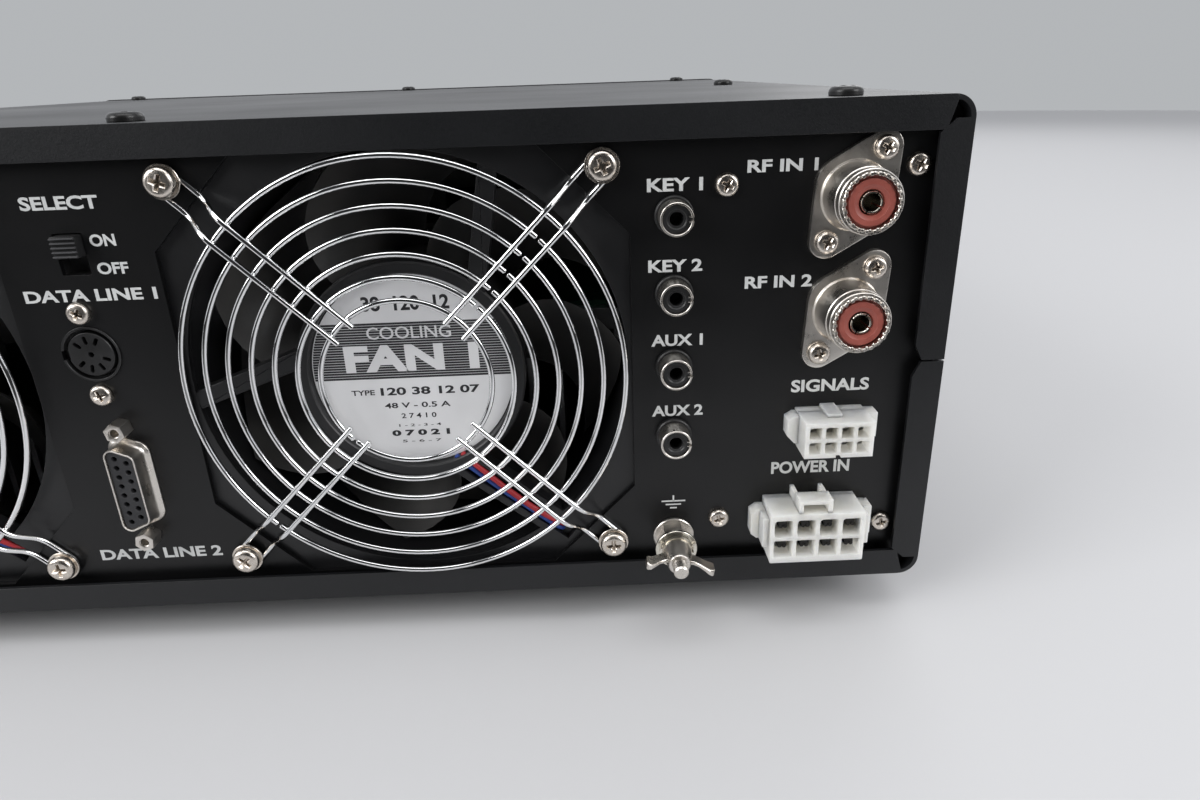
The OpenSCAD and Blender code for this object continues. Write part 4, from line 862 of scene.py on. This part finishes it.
def fan_labels():
    """Silver discs in the hubs, each with a dark striped band, a plain name and plain numbers."""
    face = PANEL_IN - LABEL_SINK
    disc = Form().lathe([(0.3, 0.0), (LABEL_R, 0.0), (LABEL_R, LABEL_T - 0.04), (LABEL_R - 0.04, LABEL_T),
                         (0.3, LABEL_T)], steps=96)
    discs = Form().spread(disc, [rear(right, 0, face) for right in FANS.values()])
    piece("label_discs", discs, LABEL, nodes=["fan_labels"])
    dark = Form()
    for k in range(int((BAND[0] - BAND[1]) / STRIPE)):
        y = BAND[0] - (k + 0.5) * STRIPE
        dark.put(flat_bar(0, y, 2 * math.sqrt((LABEL_R - 0.3) ** 2 - y * y), STRIPE * 0.8))
    for text in LABEL_TEXT:
        dark.put(lettering(*text))
    ink, words = Form(), Form()
    for number, right in FANS.items():
        ink.put(dark, rear(right, 0, face + LABEL_T + INK_T))
        over_ink = rear(right, 0, face + LABEL_T + 2 * INK_T)
        words.put(lettering("FAN " + number, -18, 18, 0.1, 7.6, 0.045), over_ink)
        words.put(lettering("COOLING", -11.2, 11.2, 9.3, 3.4, 0.01), over_ink)
    piece("label_print", ink, INK)
    piece("label_words", words, LABEL)


LEAD_R = 0.8
RED_WAY = ((11.9, 24.4, -1.9), (11.85, 28, -0.6), (12.2, 33, -0.4), (12.7, 40, -0.25), (13.0, 48, -0.15),
           (12.9, 55, -0.4), (12.4, LEAD_TURN - 2, -1.0), (12.4, LEAD_TURN, -3), (12.4, LEAD_TURN, -28.2))
BLUE_WAY = ((13.6, 23.4, -1.9), (13.55, 28, -1.15), (13.9, 34, -1.15), (14.15, 41, -1.15), (14.15, 54, -1.15),
            (14.1, LEAD_TURN - 2, -1.3), (14.1, LEAD_TURN, -3), (14.1, LEAD_TURN, -28.2))


def fan_leads():
    """A red and a blue lead for each fan: out of the hub, along the channelled strut and in past the duct."""
    lay = [rear(right, 0, PANEL_IN) @ CHANNEL for right in FANS.values()]
    for colour, way, material in (("blue", BLUE_WAY, BLUE_LEAD), ("red", RED_WAY, RED_LEAD)):
        lead = Form().tube(rounded_path(way, 2.2, 5), LEAD_R, sides=12)
        piece(f"fan_leads_{colour}", Form().spread(lead, lay), material, nodes=["fan_leads"],
              smooth=60)
    inner = FLANGE - FAN_DEPTH
    plug = Form().prism(rounded(5, 4, 0.4, 3, CHANNEL_OFFSET, LEAD_TURN), inner, inner + 5, 0.2)
    piece("fan_lead_plugs", Form().spread(plug, lay), NYLON, nodes=["fan_leads"])


# ---- radio sockets ----
def hull(points):
    """The convex outline round points."""
    points = sorted(set(points))

    def half(row):
        line = []
        for p in row:
            while len(line) > 1 and ((line[-1][0] - line[-2][0]) * (p[1] - line[-2][1])
                                     - (line[-1][1] - line[-2][1]) * (p[0] - line[-2][0])) <= 1e-9:
                line.pop()
            line.append(p)
        return line[:-1]

    return half(points) + half(points[::-1])


INPUTS = [(114.5, 43.2 - 29.2 * k) for k in range(2)]
ANTENNAS = [(FANS["2"] - 81.5, 43.8 - 29.2 * k) for k in range(4)]
SOCKET_H = 15.0
BARREL_R = 8.35
RIM_R = 7.75
RIM_Z = 11.0
INSULATOR_R = 6.4
RIM_SEEN = 7.15       # the notched rim's outer radius
FACE_R = 6.1          # the insulator's outer radius
CONTACT_HOLE = 2.95
CONTACT_R = 2.65
CONTACT_BORE = 2.05
NOTCHES = 22
FLANGE_TIP = arc(0, 0, 12.95, 60, 60, 1)[0]   # where a flange screw sits


def socket_shell():
    """Flange, smooth barrel and notched rim of a UHF socket."""
    tips = [(s * FLANGE_TIP[0], s * FLANGE_TIP[1]) for s in (-1, 1)]
    rim_points = [p for x, y, r in ((*tips[0], 4.3), (2, -2, 8), (*tips[1], 4.3), (-2, 2, 8))
                  for p in circle(r, 48, x, y)]
    form = plate([hull(rim_points), circle(INSULATOR_R + 0.05, 48)] + [circle(1.6, 20, *t) for t in tips],
                 0, FLANGE_T, 0.3)
    bore = INSULATOR_R + 0.05
    front = RIM_R - 0.05
    form.lathe([(bore, -3.5), (bore, 12.6), (RIM_SEEN, 12.6), (RIM_SEEN, 13.6), (front - 0.2, 13.6),
                (front, 13.4), (front + 0.02, RIM_Z + 0.1), (BARREL_R - 0.45, RIM_Z - 0.1), (BARREL_R, 2.5),
                (BARREL_R + 0.3, FLANGE_T + 0.2), (BARREL_R + 0.4, FLANGE_T - 0.02),
                (BARREL_R - 1, FLANGE_T - 0.3), (7.3, -3.5)], steps=72, loop=True)
    steps = 12
    sections = []
    for k in range(NOTCHES * steps):
        across = abs(k % steps / steps - 0.5) / 0.27
        cut = math.sqrt(max(0.0, 1 - across ** 2))
        top, outer, inner = SOCKET_H - 0.9 * cut, RIM_SEEN - 0.1 * cut, FACE_R + 0.1
        corners = ((inner, 12.4), (outer, 12.4), (outer, top - 0.2), (outer - 0.2, top), (inner + 0.15, top),
                   (inner, top - 0.15))
        angle = 2 * math.pi * k / (NOTCHES * steps)
        sections.append([(r * math.cos(angle), r * math.sin(angle), z) for r, z in corners])
    form.loft(sections, loop=True)
    return form


def insulator():
    top, hole, r = SOCKET_H - 1, CONTACT_HOLE, FACE_R
    profile = [(hole, -6.6), (hole, top - 0.5), (hole + 0.15, top - 0.28), (hole + 1.05, top - 0.12),
               (hole + 1.2, top), (r - 0.75, top), (r - 0.6, top - 0.12), (r - 0.55, top - 1.1),
               (r, top - 1.1), (r, -6.6)]
    return Form().lathe(profile, steps=64, loop=True)


def contact():
    r, bore, top = CONTACT_R, CONTACT_BORE, SOCKET_H - 0.9
    body = Form().lathe([(0.1, -11.5), (r, -11.5), (r, top - 0.2), (r - 0.15, top), (bore + 0.15, top),
                         (bore, top - 0.2), (bore, -3.5), (0.1, -3.5)], steps=48)
    slit = rounded(2 * r + 2, 0.4, 0.05, 1)
    return carve(body, *[Form().prism(slit, 8, top + 1, 0, turned(turn)) for turn in (62, 152)])


def radio_sockets():
    shell, ring, pin = socket_shell(), insulator(), contact()
    everywhere = INPUTS + ANTENNAS
    for name, node, form, spots, material in (
            ("input_socket_shells", "input_sockets", shell, INPUTS, NICKEL),
            ("antenna_socket_shells", "antenna_sockets", shell, ANTENNAS, NICKEL),
            ("socket_insulation", "socket_insulators", ring, everywhere, PHENOLIC),
            ("socket_pins", "socket_contacts", pin, everywhere, SILVER)):
        placed = Form().spread(form, [rear(u, v) for u, v in spots])
        piece(name, placed, material, nodes=[node])


# ---- jacks and data sockets ----
JACKS = [(70.0, 39.8 - 19.9 * k) for k in range(4)]
JACK_R = 4.15
JACK_H = 7.5


def jacks():
    wall = 0.55
    hollow, brim = JACK_R - wall, JACK_H - 0.12
    sleeve = Form().lathe([(hollow, -1.5), (hollow, brim), (hollow + 0.12, JACK_H), (JACK_R - 0.12, JACK_H),
                           (JACK_R, brim), (JACK_R, -1.5)], steps=64, loop=True)
    sleeve = carve(sleeve, Form().prism(rounded(2.4, 0.9, 0.1, 1, JACK_R), JACK_H - 0.9, JACK_H + 1))
    for y in (-0.62, 0.62):
        sleeve.prism(rounded(0.75, 0.3, 0.1, 2, hollow - 0.3, y), JACK_H - 1.2, JACK_H - 0.35, 0.05)
    inner = hollow - 0.05
    top = JACK_H - 0.8
    body = Form().lathe([(0.1, -11.6), (inner, -11.6), (inner, top - 0.2), (inner - 0.2, top), (2.5, top),
                         (2.2, top - 0.3), (1.85, top - 0.3), (1.7, top - 0.5), (1.7, -0.5),
                         (0.1, -0.5)], steps=48)
    body.prism(rounded(12, 12, 0.6, 3), -11.6, -1.6, 0.2)
    r = JACK_R + 0.05
    body.lathe([(r, 0), (r + 0.7, 0), (r + 0.7, 1.3), (r + 0.4, 1.6), (r, 1.6)], steps=48, loop=True)
    places = [rear(u, v) for u, v in JACKS]
    piece("jack_shells", Form().spread(sleeve, places), NICKEL, nodes=["jack_sleeves"])
    piece("jack_inners", Form().spread(body, places), BLACK, nodes=["jack_bodies"])


DIN_AT = (-81.4, 9.7)
DIN_R = 7.5


def din_socket():
    top = 0.4
    face = Form().lathe([(0.1, -9.6), (DIN_R, -9.6), (DIN_R, top - 0.12), (DIN_R - 0.12, top), (6.95, top),
                         (6.85, top - 0.1), (6.85, -5), (5.85, -5), (5.85, top - 0.25), (5.7, top - 0.1),
                         (0.1, top - 0.1)], steps=72)
    cuts = [Form().prism(rounded(1.0, 2.2, 0.45, 4, 0, 3.9), -5, 2, 0, turned(k * 40 - 230))
            for k in range(8) if k != 4]
    cuts.append(Form().prism(circle(0.75, 20), -5, 2))
    cuts.append(Form().prism(rounded(2.2, 2.6, 0.3, 2, -6.6, 0), -5, 2))
    face = carve(face, *cuts)
    face.put(plate([rounded(15, 30, 1.5, 4), circle(DIN_R - 1, 48)], -3.1, -1.6, 0.1))
    face.prism(rounded(17, 17, 1, 3), -11.6, -2.6, 0.2)
    piece("round_data_socket", Form().put(face, rear(*DIN_AT)), BLACK, nodes=["din_socket"])


DSUB_AT = (-78.5, -27.6)
DSUB_HALF = (4.0, 12.4)
DSUB_ROUND = 2.4
PIN_PITCH = 2.74
POST_HALF = 16.65     # from the socket's middle to each jack screw


def dsub_outline(grow):
    """The rounded slanted outline of the long data socket, wide on the left."""
    x, y1 = DSUB_HALF[0] - DSUB_ROUND, DSUB_HALF[1] - DSUB_ROUND
    y2 = y1 - 2 * DSUB_HALF[0] * math.tan(math.radians(10))
    r = DSUB_ROUND + grow
    corners = ((x, y2, 0, 80), (-x, y1, 80, 180), (-x, -y1, 180, 280), (x, -y2, 280, 360))
    return [p for cx, cy, a, b in corners for p in arc(cx, cy, r, a, b, 7)]


def dsub():
    rings = [(1.5, -1.6), (1.5, 0.25), (1.35, 0.5), (0.7, 0.85), (0.25, 1.3), (0.03, 1.9), (0, 2.4), (0, 5.8),
             (-0.14, 6), (-0.46, 6), (-0.6, 5.8), (-0.6, -1.6)]
    shell = Form().loft([[(x, y, z) for x, y in dsub_outline(g)] for g, z in rings], loop=True)
    shell.put(plate([rounded(12.5, 39.2, 1.5, 4), dsub_outline(0)], -2.4, -1.6, 0.05))
    piece("long_socket_shell", Form().put(shell, rear(*DSUB_AT)), NICKEL, nodes=["dsub_shell"])
    insert = Form().prism(dsub_outline(-0.65), -10, 5.5, 0.15)
    holes = Form()
    for x, count in ((-1.42, 8), (1.42, 7)):
        for k in range(count):
            holes.lathe([(0.05, 0), (0.62, 0), (0.62, 5.2), (0.95, 5.7), (0.05, 5.7)], steps=16,
                        place=Matrix.Translation((x, (k - (count - 1) / 2) * PIN_PITCH, 0)))
    insert = carve(insert, holes)
    insert.prism(rounded(10, 26, 1, 3), -12, -2.4, 0.2)
    piece("long_socket_insert", Form().put(insert, rear(*DSUB_AT)), INSERT, nodes=["dsub_insert"])
    screw = plate([hexagon(2.77, 30), circle(1.3, 28)], 0, 5, 0.18)
    screw.lathe([(0.05, 0), (1.35, 0), (1.35, 0.6), (0.05, 0.6)], steps=24)
    screw.lathe([(1.32, 0.5), (1.32, 4.7), (1.18, 4.6), (1.18, 0.5)], steps=28, loop=True)
    placed = Form().spread(screw, [rear(DSUB_AT[0], DSUB_AT[1] + s * POST_HALF, 0, 12 * s) for s in (-1, 1)])
    piece("jack_screw_posts", placed, NICKEL, nodes=["dsub_jackscrews"])


SWITCH_AT = (-79.4, 35.7)
SWITCH_TRAVEL = 4.4


def slide_switch():
    soft_copy("switch_body", BLACK, edge=0.15)
    knob = Form().prism(rounded(6.0, 5.4, 0.35, 3, 0.3), -4.3, 2.9, 0.2)
    ridges = Form()
    for k in range(5):
        y = (k - 2) * 1.1
        ridge = [(-2.6, y - 0.26, 2.8), (-2.6, y + 0.26, 2.8), (-2.6, y + 0.13, 3.5), (-2.6, y - 0.13, 3.5)]
        ridges.loft([ridge, [(3.2, b, c) for _, b, c in ridge]])
    at = rear(SWITCH_AT[0], SWITCH_AT[1] + SWITCH_TRAVEL / 2)
    for name, form, material in (("switch_slider", knob, BLACK), ("switch_ridges", ridges, KEY)):
        piece(name, Form().put(form, at), material, "remote_switch", ["switch_knob"])


# ---- white connectors ----
CONTROL_AT = (112.4, -18.4)
POWER_AT = (108.5, -47.8)
CONNECTOR_H = 12.0
EAR_H = 5.0


def cell_places(pitch):
    return [((i - 1.5) * pitch, (j - 0.5) * pitch) for i in range(4) for j in range(2)]


def housing(rim, block, cells, back, floor, shown, edge):
    """A block with a rim round its cells, which are filled from the floor up to the height that is shown."""
    form = plate([rim] + cells, floor - 0.1, CONNECTOR_H, edge)
    form.prism(block, back, floor, 0.1)
    for outline in cells:
        form.prism(outline, floor - 0.1, shown)
    return form


def control_connector():
    pitch, cell = 4.2, 3.3
    w, h = 4 * pitch + 1.4, 2 * pitch + 1.6
    a, b = w / 2, h / 2
    rim = [(-a, -b), (-0.7, -b), (-0.7, 0.75 - b), (0.7, 0.75 - b), (0.7, -b), (a, -b), (a, b), (-a, b)]
    cells = [rounded(cell, cell, 0.5, 2, x, y) for x, y in cell_places(pitch)]
    form = housing(rim, rounded(w, h, 0.2, 2), cells, -10.6, 3, 6.5, 0.16)
    left = [(0.1 - a, -3.6), (0.1 - a, 4.4), (-a - 1, 4.4), (-a - 3, 3.2), (-a - 3, -1.4), (-a - 1, -3.6)]
    right = [(a - 0.1, -2.5), (a + 3, -2.5), (a + 3, 4.5), (a - 0.1, 4.5)]
    form.prism(left, 0, EAR_H, 0.2)
    form.prism(right, 0, EAR_H, 0.2)
    form.prism(rounded(4, 1.1, 0.2, 2, -0.5, h / 2 + 0.45), 0, EAR_H + 3, 0.2)
    piece("control_housing", Form().put(form, rear(*CONTROL_AT)), NYLON, nodes=["control_connector"])


def power_connector():
    pitch, cell = 6.25, 5.15
    w, h = 4 * pitch + 1, 2 * pitch + 2.7
    a, b = w / 2, h / 2
    cells = [rounded(cell, cell, 0.9 if (i // 2 + i) % 3 else 0.35, 3, x, y)
             for i, (x, y) in enumerate(cell_places(pitch))]
    block = rounded(w, h, 0.4, 2)
    form = housing(block, block, cells, -12.6, 1, 6, 0.2)
    left = [(0.1 - a, -3.5), (0.1 - a, 5.5), (-a - 2.2, 5.5), (-a - 4, 4.2), (-a - 4, -2.2), (-a - 2.4, -3.5)]
    form.prism(left, 0, EAR_H, 0.2)
    form.prism(rounded(4.1, 9, 0.4, 2, a + 1.95, 1), 0, EAR_H, 0.2)
    for s in (-1, 1):
        form.prism(rounded(1.9, 9, 0.3, 2, s * (a + 0.85), 1), EAR_H - 0.1, CONNECTOR_H - 2, 0.2)
    half, wall, shift = 4.6, 1.2, -0.8
    base, bridge, tall = b - 0.1, b + 3.8, 3.2
    arch = [(-half, base), (wall - half, base), (wall - half, bridge - wall), (half - wall, bridge - wall),
            (half - wall, base), (half, base), (half, bridge), (-half, bridge)]
    form.prism([(x + shift, y) for x, y in arch], CONNECTOR_H - 6, CONNECTOR_H - 0.4, 0.15)
    for s in (-1, 1):
        upright = rounded(wall, tall, 0.2, 2, shift + s * (half - wall / 2), base + tall / 2)
        form.prism(upright, 0, CONNECTOR_H - 5.9, 0.1)
    piece("power_housing", Form().put(form, rear(*POWER_AT)), NYLON, nodes=["power_connector"])
    # the pins and tabs carry the nearly black painted shade of the deep cells
    pins = Form()
    for x, y in cell_places(pitch):
        for dx in (-0.62, 0.62):
            pins.lathe([(0.05, 3), (0.68, 3), (0.68, 9.4), (0.5, 9.7), (0.05, 9.7)], steps=16,
                       place=Matrix.Translation((x + dx + 0.2, y - 0.35, 0)))
        pins.prism(rounded(2.4, 1.0, 0.2, 2, x + 0.2, y + 0.55), 3, 9.6, 0.1)
    piece("power_pins", Form().put(pins, rear(*POWER_AT)), TIN_PAINTED_SHADE, nodes=["power_contacts"])


# ---- ground terminal ----
GROUND_AT = (70.0, -52.0)
STUD_R = 2.0
NUT_Z = 9.3
WING_TURN = -10


def ground_terminal():
    r = STUD_R
    stud = Form().lathe([(0.1, -9.6), (r, -9.6), (r, 19.5), (r - 0.4, 20), (0.1, 20)], steps=32)
    for z in [12.9 + 0.5 * k for k in range(13)]:
        thread = [(r - 0.1, z), (r + 0.02, z + 0.12), (r + 0.02, z + 0.2), (r - 0.1, z + 0.32)]
        stud.lathe(thread, steps=32, loop=True)
    stud.lathe([(0.1, 0), (5.6, 0), (5.85, 0.2), (5.85, 1.0), (5.6, 1.2), (0.1, 1.2)], steps=56)
    stud.prism(hexagon(4.96, 8), 0.8, 7, 0.3)
    stud.prism(hexagon(4.04, 0), -4.6, -1.6, 0.2)
    place = rear(*GROUND_AT)
    piece("terminal_post", Form().put(stud, place), NICKEL, nodes=["ground_stud"])
    bore = STUD_R + 0.06
    flat = [(bore, 7), (5.75, 7), (5.85, 7.12), (5.85, 7.88), (5.75, 8), (bore, 8)]
    washers = Form().lathe(flat, steps=56, loop=True).loft(split_ring(bore + 0.1, 4.8, 8.0, 9.25))
    piece("terminal_rings", Form().put(washers, place), SILVER, "terminal_washers", ["ground_washers"])
    z = NUT_Z
    nut = Form().lathe([(bore, z), (3.9, z), (4.1, z + 0.2), (3.75, z + 2.4), (3.15, z + 6.1), (2.8, z + 6.5),
                        (bore, z + 6.5)], steps=48, loop=True)
    nut.spread(wing(), [turned(0), turned(180)])
    piece("wing_nut_body", Form().put(nut, place @ turned(WING_TURN)), NICKEL, "terminal_nut", ["wing_nut"])


def split_ring(inner, outer, z0, z1):
    """Sections of a spring washer that rises slightly round its split."""
    sections = []
    for k in range(49):
        a = math.radians(6 + 348 * k / 48)
        lift = 0.2 * k / 48
        corners = ((inner, z0), (outer, z0), (outer, z1 - 0.2), (inner, z1 - 0.2))
        sections.append([(r * math.cos(a), r * math.sin(a), z + lift * (z > z0)) for r, z in corners])
    return sections


def wing():
    """One pressed ear of the wing nut: rounded sections rising outwards from the hub."""
    spine = [(2.7, 3.0, 4.6), (4.0, 3.3, 4.2), (5.4, 4.3, 4.0), (6.8, 5.7, 4.3), (7.9, 6.7, 4.7),
             (8.8, 7.0, 4.4), (9.25, 7.0, 3.2)]
    sections = []
    for x, z, tall in spine:
        thick = 0.6 + 0.5 * max(0, (x - 6.0) / 3.25) ** 1.5
        bow = 0.25 * math.sin(math.pi * (x - 2.7) / 6.45)
        ring = rounded(2 * thick, tall, 0.48, 3)
        sections.append([(x, a + bow, NUT_Z + z + b) for a, b in ring])
    return Form().loft(sections)


# ---- rear panel ----
OPENING = 118.0
OPENING_CUT = 23.5


def rear_panel():
    """The flat panel with a hole for everything that sits in it."""
    low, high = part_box("rear_panel")
    size = (high - low) / MM
    middle = FAN_1.x - (low.x + high.x) / 2 / MM
    a, b = OPENING / 2, OPENING / 2 - OPENING_CUT
    octagon = [(-a, -b), (-b, -a), (b, -a), (a, -b), (a, b), (b, a), (-b, a), (-a, b)]
    outlines = [rounded(size.x, size.z, 4.1, 6, middle)]
    for right in FANS.values():
        outlines.append([(x + right, y) for x, y in octagon])
        outlines += screw_holes(right)
    outlines += [circle(7.4, 40, u, v) for u, v in INPUTS + ANTENNAS]
    outlines += [circle(JACK_R + 0.05, 40, u, v) for u, v in JACKS]
    outlines.append(circle(DIN_R + 0.05, 48, *DIN_AT))
    outlines.append([(x + DSUB_AT[0], y + DSUB_AT[1]) for x, y in dsub_outline(1.55)])
    outlines += [circle(1.45, 20, DSUB_AT[0], DSUB_AT[1] + s * POST_HALF) for s in (-1, 1)]
    outlines.append(rounded(7.2, 10.4, 0.3, 2, *SWITCH_AT))
    outlines.append(rounded(18.3, 10.1, 0.2, 2, *CONTROL_AT))
    outlines.append(rounded(26.1, 15.3, 0.2, 2, *POWER_AT))
    outlines.append(circle(STUD_R + 0.05, 32, *GROUND_AT))
    form = plate(outlines, PANEL_IN, 0, 0.12)
    piece("rear_panel_sheet", Form().put(form, rear()), PANEL, nodes=["rear_panel"])


# ---- front ----
def on_front(node):
    """The place of a CAD node on the front panel, its width and height, and how far it stands out."""
    low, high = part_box(node)
    centre, size = (low + high) / 2 / MM, (high - low) / MM
    return front(centre.x, centre.z - MID_Z), size.x, size.z, FRONT_Y - low.y / MM


def front_panel_parts():
    soft_copy("display_window", WINDOW, edge=0.2)
    soft_copy("display_module", BOARD)
    place, _, _, out = on_front("power_button")
    r = 7.0
    button = Form().lathe([(0.2, -5.3), (r + 1.5, -5.3), (r + 1.5, -4.3), (r, -4.3), (r, out - 0.7),
                           (r - 0.25, out - 0.2), (r - 0.8, out), (r - 1.6, out - 0.1), (0.2, out - 0.55)],
                          steps=64)
    piece("power_cap", Form().put(button, place), KEY, "power_key", ["power_button"])
    for k in range(1, 7):
        place, wide, tall, out = on_front(f"key_{k}")
        cap = Form().prism(rounded(wide - 3, tall - 3, 1.6, 5), -5.0, out, 0.5)
        cap.prism(rounded(wide, tall, 1.5, 3), -5.3, -4.3, 0.1)
        piece(f"key_cap_{k}", Form().put(cap, place), KEY, f"push_key_{k}", [f"key_{k}"])
        mark = flat_bar(0, -1.6, 7, 0.5).put(lettering(str(k), -0.8, 0.8, -0.2, 2.6))
        lifted = Form().put(mark, place @ Matrix.Translation((0, 0, out + 0.02)))
        piece(f"key_mark_{k}", lifted, LEGEND, f"push_key_{k}")
    selector()


def selector():
    low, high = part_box("selector_knob")
    axis = Vector(JOINTS["selector_turn"]["pos_m"]) / MM
    place = front(axis.x, axis.z - MID_Z)
    r, top = (high.x - low.x) / MM / 2, FRONT_Y - low.y / MM
    ribs = 60
    grip = []
    for k in range(ribs):
        for t, d in ((0.0, 0.0), (0.25, 0.0), (0.5, 0.35), (0.75, 0.35)):
            a = 2 * math.pi * (k + t) / ribs
            grip.append(((r - d) * math.cos(a), (r - d) * math.sin(a)))
    knob = Form().prism(grip, 2.4, top - 2.2, 0.2)
    core = Form().lathe([(0.2, -10.2), (3, -10.2), (3, 0.4), (r - 0.6, 0.4), (r, 0.8), (r, 2.2),
                         (r - 0.6, 2.5), (r - 0.6, top - 2.3), (r - 0.5, top - 1.9), (r - 1.2, top - 0.3),
                         (r - 1.9, top), (r - 3.5, top), (r - 4.2, top - 0.35), (0.2, top - 0.5)], steps=120)
    dimple = [(0.02, top - 1.5), (1.6, top - 1.3), (2.8, top + 0.5), (0.02, top + 0.5)]
    knob.put(carve(core, Form().lathe(dimple, steps=32, place=Matrix.Translation((0, r - 7.6, 0)))))
    piece("selector_grip", Form().put(knob, place), KNOB, "selector", ["selector_knob"])


# ---- inside ----
def inside():
    for node, material in (
            ("heatsinks", ALUMINIUM), ("amplifier_boards", BOARD), ("power_transistors", CERAMIC),
            ("rf_transformers", FERRITE), ("filter_board", BOARD), ("filter_coils", COPPER),
            ("relays", RELAY), ("input_board", BOARD), ("shield_plate", STEEL), ("power_switch", BLACK),
            ("selector_base", STEEL), ("guard_nuts", NICKEL_SCREW)):
        soft_copy(node, material, edge=0.15)


case()
screws()
feet()
for number, fan_right in FANS.items():
    guard(number, fan_right)
    fan_frame(number, fan_right)
    fan_rotor(number, fan_right, BLADE_STARTS[number])
guard_fasteners()
fan_labels()
fan_leads()
radio_sockets()
jacks()
din_socket()
dsub()
slide_switch()
control_connector()
power_connector()
ground_terminal()
rear_panel()
legends()
front_panel_parts()
inside()
